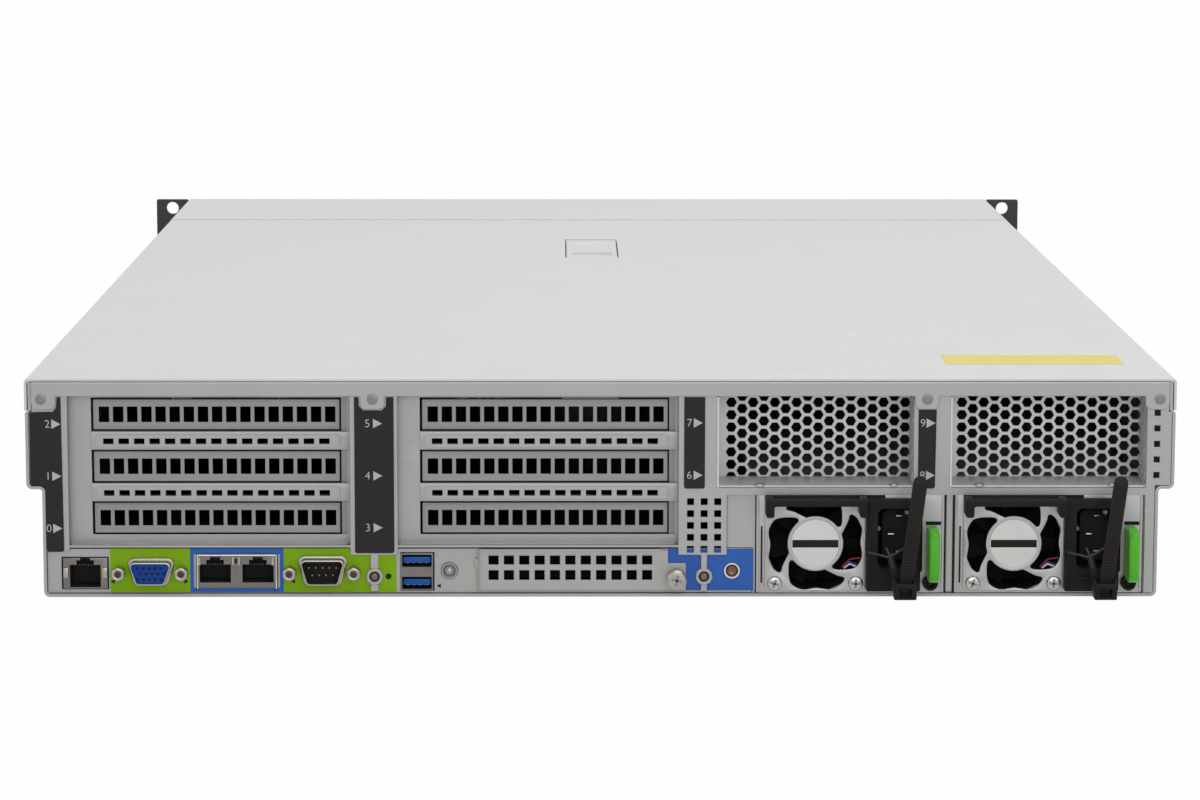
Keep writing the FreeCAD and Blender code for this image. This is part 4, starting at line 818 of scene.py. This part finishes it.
def small_hardware():
    """The mezzanine cover, its thumb screw, the captive screws and the two rear buttons."""
    it = Piece("mezzanine_cover")
    plate = panel([(-48.0, 2.4, 74.2, 15.9), (26.2, 2.4, 7.0, 10.8), (-49.4, 11.6, 1.4, 3.4)],
                  comb(-43.9, 12.7, 3.9, 3.9, 6.0, 11) + comb(-43.9, 6.6, 3.9, 3.9, 6.0, 11), 0.1, 1.0, 0.15)
    lip = block(-47.6, -0.6, 18.0, 71.6, 1.6, 0.9, 0.3, 2)
    it.add(SHEET, plate, lip)
    it.add(SHELL, block(-48.0, -0.9, 2.4, 0.7, 1.2, 15.8, 0.2, 1))
    it.ride("chassis", "nickel", "mezzanine_cover")

    screws = Piece("rear_screws")
    knob = turned([(0, 6.9), (2.2, 6.95), (3.3, 6.8), (3.85, 6.2), (3.85, 5.2), (3.5, 4.9), (3.85, 4.6),
                   (3.85, 1.2), (3.2, 0.6), (3.2, 0), (0, 0)], 29.5, 0, 7.6, sides=40)
    screws.add(SHELL, carved(knob, *cross_recess(29.5, -6.9, 7.6, 2.0, 1.6, 12)))
    screws.add(RIVET, *cross_recess(29.5, -6.0, 7.6, 1.9, -0.85, 12))
    for x, z, turn in ((-88.4, 8.0, 35), (40.25, 8.0, 10)):
        # Dark disc behind each screw head: painted shade in the screw hole.
        screws.add(DARK, rod(x, 0.6, z, 2.0, 1.0, "y", 24))
        pan_screw(screws, COPPER, x, 0.9, z, 1.75, 1.3, turn)
    screws.ride("chassis", "nickel", "rear_screws")

    for node, body, x, finish in (("uid_button", "uid_button_cap", -59.2, SHELL),
                                  ("power_button", "power_button_cap", 51.2, COPPER)):
        ring = Piece(node + "_ring")
        ring.add(SPRING if x > 0 else BRACKET, turned(
            [(2.1, 0.3), (2.5, 0.9), (3.1, 0.9), (3.4, 0.3), (3.4, -1.0), (2.1, -1.0)],
            x, 1.2, 10.2, sides=32, closed=True))
        ring.ride("chassis", "nickel")
        cap = Piece(node + "_cap")
        if x > 0:
            cap.add(finish, turned([(0, 0.1), (1.2, 0.15), (1.7, 0.4), (1.95, 0.2), (2.0, -0.2), (2.0, -6),
                                    (0, -6)], x, 1.0, 10.2, sides=28))
        else:
            cap.add(RIVET, turned([(0, 0), (1.9, 0), (2.0, -0.2), (2.0, -6), (0, -6)], x, 1.0, 10.2,
                                  sides=28))
            cap.add(finish, turned([(0, 0.7), (0.6, 0.6), (1.1, 0.3), (1.3, -0.2), (0, -0.2)], x, 1.0, 10.2,
                                   sides=24))
        cap.ride(body, "black_plastic", node)


# ---------- power supplies

SWIRL = [(14.4, 11.7), (17.4, 9.0), (18.4, 6.0), (17.8, 2.5), (17.5, 0.0), (18.5, -4.5), (17.5, -7.5),
         (15.4, -10.2), (7.5, -10.5), (6.2, -9.0), (9.0, -6.0), (10.2, -2.5), (10.4, 0.5), (9.9, 3.0),
         (11.4, 6.0), (12.9, 9.0), (13.2, 11.2)]


def smooth_loop(points, rounds=2):
    """Cut the corners of a closed outline until it runs smoothly."""
    for _ in range(rounds):
        after = points[1:] + points[:1]
        points = [spot for (ax, az), (bx, bz) in zip(points, after)
                  for spot in ((0.75 * ax + 0.25 * bx, 0.75 * az + 0.25 * bz),
                               (0.25 * ax + 0.75 * bx, 0.25 * az + 0.75 * bz))]
    return points


def side_cutout(points, x, thick, edge=0.0, steps=2):
    """A sheet that stands across x, from (y, z) points."""
    bm = cutout([(py, pz) for py, pz in points], 0, thick, edge, steps)
    quarter_turn(bm, "Z")
    return moved(bm, x + thick)


def wire(points, radius, sides=10):
    """A round wire that runs through the points."""
    parts = []
    for first, second in zip(points, points[1:]):
        a, b = Vector(first), Vector(second)
        bm = bmesh.new()
        bmesh.ops.create_cone(bm, cap_ends=True, segments=sides, radius1=radius, radius2=radius,
                              depth=(b - a).length)
        turn = (b - a).to_track_quat("Z", "Y").to_matrix().to_4x4()
        bmesh.ops.transform(bm, matrix=Matrix.Translation((a + b) / 2) @ turn, verts=bm.verts)
        parts.append(bm)
    for spot in points[1:-1]:
        bm = bmesh.new()
        bmesh.ops.create_icosphere(bm, subdivisions=1, radius=radius * 1.04)
        bmesh.ops.translate(bm, vec=spot, verts=bm.verts)
        parts.append(bm)
    return parts


def power_supply(letter, centre):
    """One power supply: case and guard, fan sticker, handle, inlet, cable strap and green release."""
    fan_x, fan_z = centre - FAN_ASIDE, FAN_HIGH
    body = "psu_" + letter

    def spot(points):
        return [(fan_x + dx, fan_z + dz) for dx, dz in points]

    case = Piece(body + "_case_shell")
    tunnel = rod(fan_x, -1, fan_z, 19.1, 24, "y", 64)
    pocket = block(centre + 8.4, -1, 9.8, 19.8, 15, 27.8)
    thumb = block(centre + 29.4, -1, 28.3, 6.0, 3.4, 1.5)
    case.add(STEEL, carved(block(centre - 36.75, 0, 1.4, 73.5, 265, 39, 0.5, 2), tunnel, pocket, thumb))
    case.add(DARK, turned([(18.9, 0.1), (18.9, -22.5), (0, -22.5), (0, -22.9), (19.05, -22.9), (19.05, 0.1)],
                          fan_x, 0, fan_z, sides=64, closed=True))
    # The second dark block is painted shadow at the back of the thumb recess above the release lever.
    case.add(DARK, block(centre - 35.0, -0.05, 5.5, 0.7, 0.1, 22.5),
             block(centre + 29.4, 1.0, 28.3, 6, 0.3, 1.5))
    case.add(STEEL, block(centre - 36.7, -0.25, 1.7, 1.0, 0.4, 38.4, 0.15, 1),
             block(centre + 35.6, -0.25, 1.7, 1.0, 0.4, 38.4, 0.15, 1))
    case.add(PALE, block(centre + 34.3, -0.1, 7.0, 1.0, 0.12, 19.0))
    # Dark strips behind the handle's top bar, on the case and on the guard: painted shadow under the bar.
    case.add(DARK, block(fan_x - GUARD_HALF, -0.3, 37.2, 47.0, 0.4, 3.1),
             block(fan_x - 19.7, -1.25, 38.0, 39.4, 0.3, 2.35))

    cuts = []
    for quarter in range(4):
        turn = math.radians(-90 * quarter)
        across, up = math.cos(turn), math.sin(turn)
        shape = [(dx * across - dz * up, min(17.2, dx * up + dz * across)) for dx, dz in SWIRL]
        cuts.append(cutout(smooth_loop(spot(shape)), -3, 6))
    plate = cutout(rounded(fan_x - GUARD_HALF, 2.4, 2 * GUARD_HALF, 37.6, 2.2), -1.0, 0.9)
    guard = carved(plate, *cuts)
    soften(guard, 0.22, 2, lambda one: one.calc_face_angle() > 1.2 and all(v.co.y < -0.95 for v in one.verts))
    case.add(STEEL, guard)
    case.add(STEEL, turned([(9.5, 1.02), (10.2, 1.25), (10.75, 1.15), (10.9, 0.8), (9.5, 0.8)],
                           fan_x, 0, fan_z, sides=64, closed=True))
    for side, turn in ((-1, 20), (1, 5)):
        case.add(STEEL, block(fan_x + side * 19.1 - 0.45, -1.5, fan_z - 5.0, 0.9, 0.8, 10.4, 0.35, 3))
        pan_screw(case, SCREW, fan_x + side * 15.85, -0.95, fan_z - 15.75, 2.9, 1.25, turn)
    case.ride(body, "sheet", body + "_case")

    sticker = Piece(body + "_sticker")
    sticker.add(PALE, rod(fan_x, -1.14, fan_z, 9.35, 0.14, "y", 64))
    sticker.add(DARK, block(fan_x - 9.0, -1.17, fan_z - 1.5, 18.0, 0.04, 3.0))
    for j, finish in ((0, RED_WIRE), (1, BLUE_WIRE), (2, PALE)):
        run = [(fan_x + 10.5 + j * 0.4, 0.5, fan_z - 9.6 - j * 0.2),
               (fan_x + 13.5, 0.5, fan_z - 7.4 + 0.9 * (1 - j)),
               (fan_x + 17.6, 0.5, fan_z - 8.3 - j * 0.8 + (2.4 if j == 0 else 0))]
        sticker.add(finish, *wire(run, 0.33))
    sticker.ride(body, "sheet")

    handle = Piece(body + "_handle_grip")
    grip = panel([(fan_x - GUARD_HALF, 37.6, 2 * GUARD_HALF, 2.8), (fan_x - GUARD_HALF, 33.2, 3.2, 5.2),
                  (fan_x + 16.6, 33.2, 3.2, 5.2)], [], -12.0, 3.4)
    soften(grip, 0.9, 3, lambda one: one.calc_face_angle() > 1.2)
    handle.add(BLACK, grip)
    for left in (-GUARD_HALF, 16.6):
        handle.add(BLACK, block(fan_x + left, -9.4, 33.4, 3.2, 8.6, 6.8, 0.5, 2))
    handle.ride(body, "black_plastic", body + "_handle")

    inlet = Piece(body + "_inlet_socket")
    mouth = rounded(centre + 10.4, 11.8, 15.6, 23.8, 2.6)
    collar = carved(block(centre + 6.2, -4.0, 2.6, 21.0, 4.0, 36.6, 0.6, 3), cutout(mouth, -8, 12))
    well = carved(block(centre + 8.8, -0.2, 10.2, 19.0, 13.6, 27.0), cutout(mouth, -8, 20))
    inlet.add(BLACK, collar)
    # The well and the core inside the mouth get the near-black finish: painted shade inside the inlet.
    inlet.add(DARK, well)
    inlet.add(DARK, cutout(rounded(centre + 12.6, 13.4, 11.2, 20.6, 3.2), 4.6, 8.8, 0.4, 2))
    for x, z in ((17.8, 31.4), (14.6, 24.2), (17.8, 17.3)):
        inlet.add(CHROME, block(centre + x, 1.4, z, 2.6, 3.6, 0.8, 0.2, 1))
    for x, z in ((10.9, 27.1), (21.9, 33.6)):
        inlet.add(PEG, rod(centre + x, -1.2, z, 0.9, 3.0, "y", 20, 0.2))
    inlet.add(BLACK, block(centre + 7.0, -4.5, 4.6, 1.0, 0.6, 32.0, 0.2, 2),
              block(centre + 9.0, -4.4, 7.6, 17.4, 0.5, 0.9, 0.2, 2))
    inlet.add(DARK, turned([(1.7, 2.0), (2.2, 2.4), (2.9, 2.3), (3.0, 1.9), (3.0, 0), (1.7, 0)],
                           centre + 31.4, 0, 5.6, sides=32, closed=True))
    inlet.add(BLACK, rod(centre + 31.4, -1.3, 5.6, 1.75, 1.2, "y", 24, 0.3))
    inlet.ride(body, "black_plastic", body + "_inlet")

    release = Piece(body + "_release_lever")
    profile = [(-0.3, 7.2), (-9.0, 7.2), (-11.4, 8.1), (-12.7, 9.8), (-13.0, 11.6), (-13.0, 24.4),
               (-12.4, 26.4), (-10.9, 27.8), (-9.4, 28.1), (-0.3, 28.1)]
    release.add(GREEN, side_cutout(profile, centre + 29.8, 4.2, 1.15, 4))
    release.add(GREEN, block(centre + 30.2, -12.95, 23.2, 3.4, 3.2, 4.2, 1.2, 4))
    release.ride("psu_%s_catch" % letter, "green_plastic", body + "_release")

    strap = Piece(body + "_cable_strap")
    outline = [(17.2, 5.0), (22.8, 5.0), (28.2, 47.0), (28.0, 49.0), (27.2, 50.2), (25.9, 50.6), (24.5, 50.5),
               (23.3, 49.8), (22.7, 48.0)]
    strap.add(STRAP, cutout([(centre + x, z) for x, z in outline], -17.9, 1.2, 0.25, 2))
    for i in range(38):
        up = 6.0 + i * 1.12
        middle = 20.0 + (up - 5.0) * 0.128
        strap.add(STRAP, moved(block(centre + middle - 2.05, -18.2, up - 0.28, 4.1, 0.5, 0.56, 0.12, 1),
                               turn=-1.5, centre=(centre + middle, 0, up)))
    buckle = carved(block(centre + 15.6, -20.9, 2.6, 8.8, 6.9, 6.4, 0.6, 3),
                    block(centre + 17.6, -22, 3.7, 4.9, 4.2, 3.4),
                    block(centre + 16.6, -19.2, -1, 6.6, 2.4, 12))
    strap.add(BLACK, buckle)
    strap.add(BLACK, block(centre + 15.2, -20.6, 5.6, 1.0, 5.6, 4.6, 0.3, 2),
              block(centre + 23.2, -20.6, 4.6, 0.9, 5.6, 5.4, 0.3, 2))
    strap.add(BLACK, block(centre + 18.0, -14.6, 3.0, 4.0, 10.5, 1.6, 0.3, 2))
    strap.add(BLACK, cutout([(centre + 13.2, 18.6), (centre + 15.4, 20.8), (centre + 18.6, 7.4),
                             (centre + 22.0, 4.8), (centre + 18.4, 4.4), (centre + 15.2, 9.0)],
                            -14.4, 1.0, 0.3, 2))
    arc = [(centre + 6.4, -8.6, 19.2), (centre + 10.2, -12.6, 19.0), (centre + 13.4, -14.2, 18.4),
           (centre + 16.4, -14.4, 19.6), (centre + 19.6, -13.4, 21.6), (centre + 23.8, -9.6, 23.0)]
    strap.add(GREY, *wire(arc, 0.42))
    strap.add(GREY, *wire([(centre + 12.8, -14.2, 22.2), (centre + 14.4, -14.6, 18.6),
                           (centre + 15.6, -14.6, 14.0)], 0.42))
    strap.ride(body, "black_plastic", body + "_strap")


# ---------- covers and latch

def covers():
    """The sliding rear cover with its pressed pads, tub and sticker, and the latch that lies in the tub."""
    tub = (-13.1, 414.6, 26.2, 80.8)
    profile = [(223.7, 73.6), (223.7, 84.6), (223.4, 85.4), (222.7, 85.85), (221.9, 85.9)]
    inner = [(221.7, 85.0), (222.4, 84.8), (222.7, 84.2), (222.7, 73.6)]
    outline = profile + [(-x, z) for x, z in reversed(profile)] + [(-x, z) for x, z in reversed(inner)] + inner
    sheet = cutout(outline, 0.0, 589.5)
    knives = [block(tub[0], tub[1], 70, tub[2], tub[3], 30)]
    for i in range(56):
        knives.append(block(-186.0 + i * 5.5, 19.0, 85.78, 3.9, 20.0, 1.0, 0.1, 1))
    sheet = carved(sheet, *knives)
    it = Piece("rear_cover").add(LIT_COVER, sheet)
    pan = carved(block(tub[0] - 1, tub[1] - 1, 77.0, tub[2] + 2, tub[3] + 2, 8.4, 0.5, 2),
                 block(tub[0], tub[1], 78.0, tub[2], tub[3], 12, 0.4, 2))
    it.add(LIT_COVER, pan)
    it.add(LIT_COVER, block(-223.2, -0.06, 84.86, 446.4, 0.9, 1.02, 0.4, 3))
    it.ride("cover", "sheet", "top_cover")
    Piece("cover_sticker").add(YELLOW, block(138.0, 41.0, 85.88, 71.0, 26.0, 0.11)).ride("cover", "sheet")

    latch = Piece("latch_lever")
    body = block(-12.7, 415.4, 82.0, 25.4, 77.2, 3.7, 0.7, 3)
    grip = block(-9.7, 423.0, 84.8, 19.4, 14.0, 3.0, 0.4, 2)
    spine = block(-9.0, 446.0, 85.45, 18.0, 34.0, 1.0, 0.2, 1)
    latch.add(LIT_LATCH_SHEET, carved(body, grip, spine))
    latch.add(LIT_LATCH_SHEET, rod(-12.7, 492.6, 82.9, 2.8, 25.4, "x", 24, 0.2))
    latch.ride("latch", "sheet", "cover_latch")


# ---------- front

def front():
    """The front: honeycomb grille, and the drive carriers with their levers and lamps."""
    grille = Piece("front_grille")
    rim = panel([(-216.0, 1.4, 282.2, 83.2)], [(-208.0, 9.0, 266.0, 68.0)], FRONT - 4.0, 1.6, 0.2)
    net = honeycomb(-208.5, 8.5, 267.0, 69.0, FRONT - 3.2, 0.8, 6.4, 5.4, -205.0, 12.0)
    grille.add(BLACK_SHEET, rim, net)
    surround = panel([(66.2, 1.4, 149.8, 83.2)], [(67.4, 4.6, 143.2, 74.6)], FRONT - 4.0, 1.6, 0.2)
    grille.add(BLACK_SHEET, surround)
    for x in (66.2, 210.6):
        grille.add(SHEET, block(x, 564, 1.4, 1.2, 132, 79))
    grille.add(SHEET, block(66.2, 564, 80.4, 145.6, 132, 1.0))
    grille.ride("chassis", "sheet", "drive_cage")

    for number in range(1, CARRIERS + 1):
        x = BAY_START + CARRIER_PITCH * (number - 0.5)
        it = Piece("carrier_%d" % number)
        face = carved(block(x - 8.4, 691.0, 4.9, 16.8, 9.0, 74.0, 0.5, 2),
                      block(x - 7.4, 694.6, 10.6, 14.8, 8, 52.0, 0.5, 2),
                      block(x - 5.4, 690, 66.0, 10.8, 20, 10.0))
        it.add(CARRIER, face)
        it.add(BLACK_SHEET, honeycomb(x - 5.6, 65.8, 11.2, 10.4, 697.2, 0.6, 3.0, 2.4, x, 71.0))
        it.add(FIN, block(x - 7.5, 590.6, 7.6, 15.0, 100.6, 69.9, 0.6, 2))
        it.add(BOARD, block(x - 6.9, 590.8, 9.0, 1.2, 94.0, 66.0))
        it.add(DARK, block(x - 6.2, 698.9, 6.0, 12.4, 1.0, 1.2))
        it.add(LAMP_GREEN, rod(x - 5.0, 699.4, 8.9, 0.9, 0.55, "y", 16))
        it.add(PALE, rod(x - 1.6, 699.4, 8.9, 0.9, 0.55, "y", 16))
        it.ride("drive_%d" % number, "carrier", "drive_carrier_%d" % number)

        lever = Piece("lever_%d_arm" % number)
        arm = carved(block(x - 7.0, 695.4, 13.0, 14.0, 4.0, 48.0, 0.6, 3),
                     block(x - 4.6, 698.6, 30.0, 9.2, 3.0, 27.0, 0.4, 2))
        lever.add(LIGHT_GREY, arm)
        lever.add(LIGHT_GREY, rod(x - 7.0, 697.4, 13.0, 2.0, 14.0, "x", 24, 0.2))
        for j in range(6):
            lever.add(LIGHT_GREY, block(x - 4.0, 698.4, 33.0 + j * 3.6, 8.0, 0.6, 1.2, 0.3, 2))
        lever.add(GREEN, block(x - 4.4, 698.9, 57.6, 8.8, 0.45, 2.4, 0.2, 2))
        lever.ride("lever_%d" % number, "lever", "carrier_lever_%d" % number)


def ears():
    """The rack ears: flange with the rack holes, moulded pod, lamps and the front button."""
    it = Piece("rack_ear_pair")
    for side in (-1, 1):
        start = 223.8 if side > 0 else -241.4
        holes = [rod(side * EAR_HOLE, FRONT - 10, z, 3.4, 20, "y", 32) for z in EAR_HOLE_ROWS]
        plate = carved(block(start, FRONT - 3, 0.6, 17.6, 3, 85.4, 0.8, 3, lambda one: abs(
            one.verts[0].co.y - one.verts[1].co.y) > 1), *holes)
        it.add(GREY, plate)
        wing = 217.5 if side > 0 else -219.1
        it.add(GREY, block(wing, FRONT - 60, 4.0, 1.6, 60.0, 34.0, 0.3, 1))
        bridge = 217.5 if side > 0 else -223.8
        it.add(GREY, block(bridge, FRONT - 3, 4.0, 6.3, 3, 34.0, 0.2, 1))
        shell = block(start + 1.2, FRONT, 16.0, 15.2, 16.0, 54.0, 2.4, 4, lambda one: max(
            spot.co.y for spot in one.verts) > FRONT + 15)
        if side > 0:
            shell = carved(shell, rod(BUTTON_ASIDE, FRONT + 8, BUTTON_HIGH, 3.25, 20, "y", 32))
            it.add(LAMP_GREEN, *[rod(BUTTON_ASIDE, FRONT + 15.6, 38.0 - j * 6, 1.1, 0.5, "y", 20)
                                 for j in range(3)])
        else:
            it.add(DARK, *[block(-236.6, FRONT + 15.7, 26.0 + j * 9, 8.0, 0.4, 2.2, 0.15, 2)
                           for j in range(4)])
        it.add(GREY, shell)
    it.ride("chassis", "ear_plastic", "rack_ears")
    cap = Piece("front_button_dome")
    cap.add(LIGHT_GREY, turned([(0, 0.9), (1.6, 0.8), (2.6, 0.3), (3.0, -0.4), (3.0, -5.8), (0, -5.8)],
                               BUTTON_ASIDE, FRONT + 15.9, BUTTON_HIGH, "y", 32))
    cap.ride("front_button_cap", "black_plastic", "front_button")


# ---------- inside

def inside():
    """Finishes of the parts inside, as modelled."""
    repaint(SHEET, "chassis_tray", "psu_cage", "rail_studs")
    repaint(LIT_COVER, "front_cover")
    repaint(BOARD, "motherboard", "drive_backplane")
    # The heatsinks get the near-black fin finish: painted shade inside the case.
    repaint(SHADE_FIN, "heatsinks")
    repaint(BLACK, "air_duct", "fan_frames", "psu_a_rotor", "psu_b_rotor",
            *["fan_rotor_" + word for word in ("one", "two", "three", "four")])


# ---------- floor, lamps and camera

SKY, FLOOR_WHITE = 0.31, 0.975


def in_view(tree):
    """1 for what the camera sees, also in reflections or through glass, and 0 for light on the server."""
    ray = tree.nodes.new("ShaderNodeLightPath")
    seen = ray.outputs["Is Camera Ray"]
    for way in ("Is Transmission Ray", "Is Glossy Ray"):
        either = tree.nodes.new("ShaderNodeMath")
        either.operation = "MAXIMUM"
        tree.links.new(seen, either.inputs[0])
        tree.links.new(ray.outputs[way], either.inputs[1])
        seen = either.outputs[0]
    return seen


def surround():
    """A white surround that lights the server only at the level of SKY."""
    world = bpy.data.worlds.new("surround")
    bpy.context.scene.world = world
    world.use_nodes = True
    tree = world.node_tree
    level = tree.nodes.new("ShaderNodeMapRange")
    level.inputs["To Min"].default_value = SKY
    level.inputs["To Max"].default_value = 1.0
    tree.links.new(in_view(tree), level.inputs["Value"])
    back = tree.nodes["Background"]
    back.inputs["Color"].default_value = (1, 1, 1, 1)
    tree.links.new(level.outputs[0], back.inputs["Strength"])


def floor():
    """A plain white floor that keeps a faint shadow."""
    bm = bmesh.new()
    bmesh.ops.create_grid(bm, x_segments=1, y_segments=1, size=6.0)
    mesh = bpy.data.meshes.new("floor")
    bm.to_mesh(mesh)
    bm.free()
    sheet = bpy.data.objects.new("floor", mesh)
    bpy.context.scene.collection.objects.link(sheet)
    paper = bpy.data.materials.new("floor_paper")
    paper.use_nodes = True
    tree = paper.node_tree
    shader = tree.nodes["Principled BSDF"]
    shader.inputs["Base Color"].default_value = (0.86, 0.86, 0.86, 1)
    shader.inputs["Roughness"].default_value = 0.9
    share = tree.nodes.new("ShaderNodeMath")
    share.operation = "MULTIPLY"
    share.inputs[1].default_value = FLOOR_WHITE
    tree.links.new(in_view(tree), share.inputs[0])
    mix = tree.nodes.new("ShaderNodeMixShader")
    tree.links.new(share.outputs[0], mix.inputs[0])
    tree.links.new(shader.outputs[0], mix.inputs[1])
    tree.links.new(tree.nodes.new("ShaderNodeEmission").outputs[0], mix.inputs[2])
    tree.links.new(mix.outputs[0], tree.nodes["Material Output"].inputs["Surface"])
    mesh.materials.append(paper)


LAMPS = (
    ("above", (0.35, -0.05, 1.7), (0, 0, 0), 2.2, 1.6, 20.5),
    ("behind_camera", (0.3, -2.6, 0.8), (0, -0.35, 0.05), 1.8, 1.0, 11),
    ("side", (-1.9, -0.3, 0.9), (0, 0, 0.05), 1.2, 1.2, 5),
)


def lamp(name, place, aim, wide, tall, power):
    """A soft rectangular lamp."""
    light = bpy.data.lights.new(name, "AREA")
    light.shape, light.size, light.size_y, light.energy = "RECTANGLE", wide, tall, power
    thing = bpy.data.objects.new(name, light)
    thing.location = place
    thing.rotation_euler = (Vector(aim) - Vector(place)).to_track_quat("-Z", "Y").to_euler()
    bpy.context.scene.collection.objects.link(thing)


def camera():
    """A long lens from a little above, turned slightly to the right."""
    yaw, pitch, roll = 0.0107251, 0.1499867, 0.0013827
    forward = Vector((math.sin(yaw) * math.cos(pitch), math.cos(yaw) * math.cos(pitch), -math.sin(pitch)))
    right = Vector((math.cos(yaw), -math.sin(yaw), 0))
    up = right.cross(forward)
    across = math.cos(roll) * right + math.sin(roll) * up
    upright = math.cos(roll) * up - math.sin(roll) * right
    lens = bpy.data.cameras.new("lens")
    lens.lens, lens.sensor_width, lens.clip_start = 119.6, 36, 0.05
    thing = bpy.data.objects.new("camera", lens)
    turn = Matrix((across, upright, -forward)).transposed().to_4x4()
    thing.matrix_world = Matrix.Translation((-0.016876, -1.879868, 0.308971)) @ turn
    bpy.context.scene.collection.objects.link(thing)
    bpy.context.scene.camera = thing


for build in (rear_wall, rear_beam, number_strips, riser_brackets, slot_covers, vents, port_plate, sockets,
              d_sockets, small_hardware):
    build()
for letter, centre in SUPPLIES:
    power_supply(letter, centre)
for build in (covers, front, ears, inside, surround, floor):
    build()
for settings in LAMPS:
    lamp(*settings)
camera()

view = bpy.context.scene.view_settings
view.view_transform = "Standard"
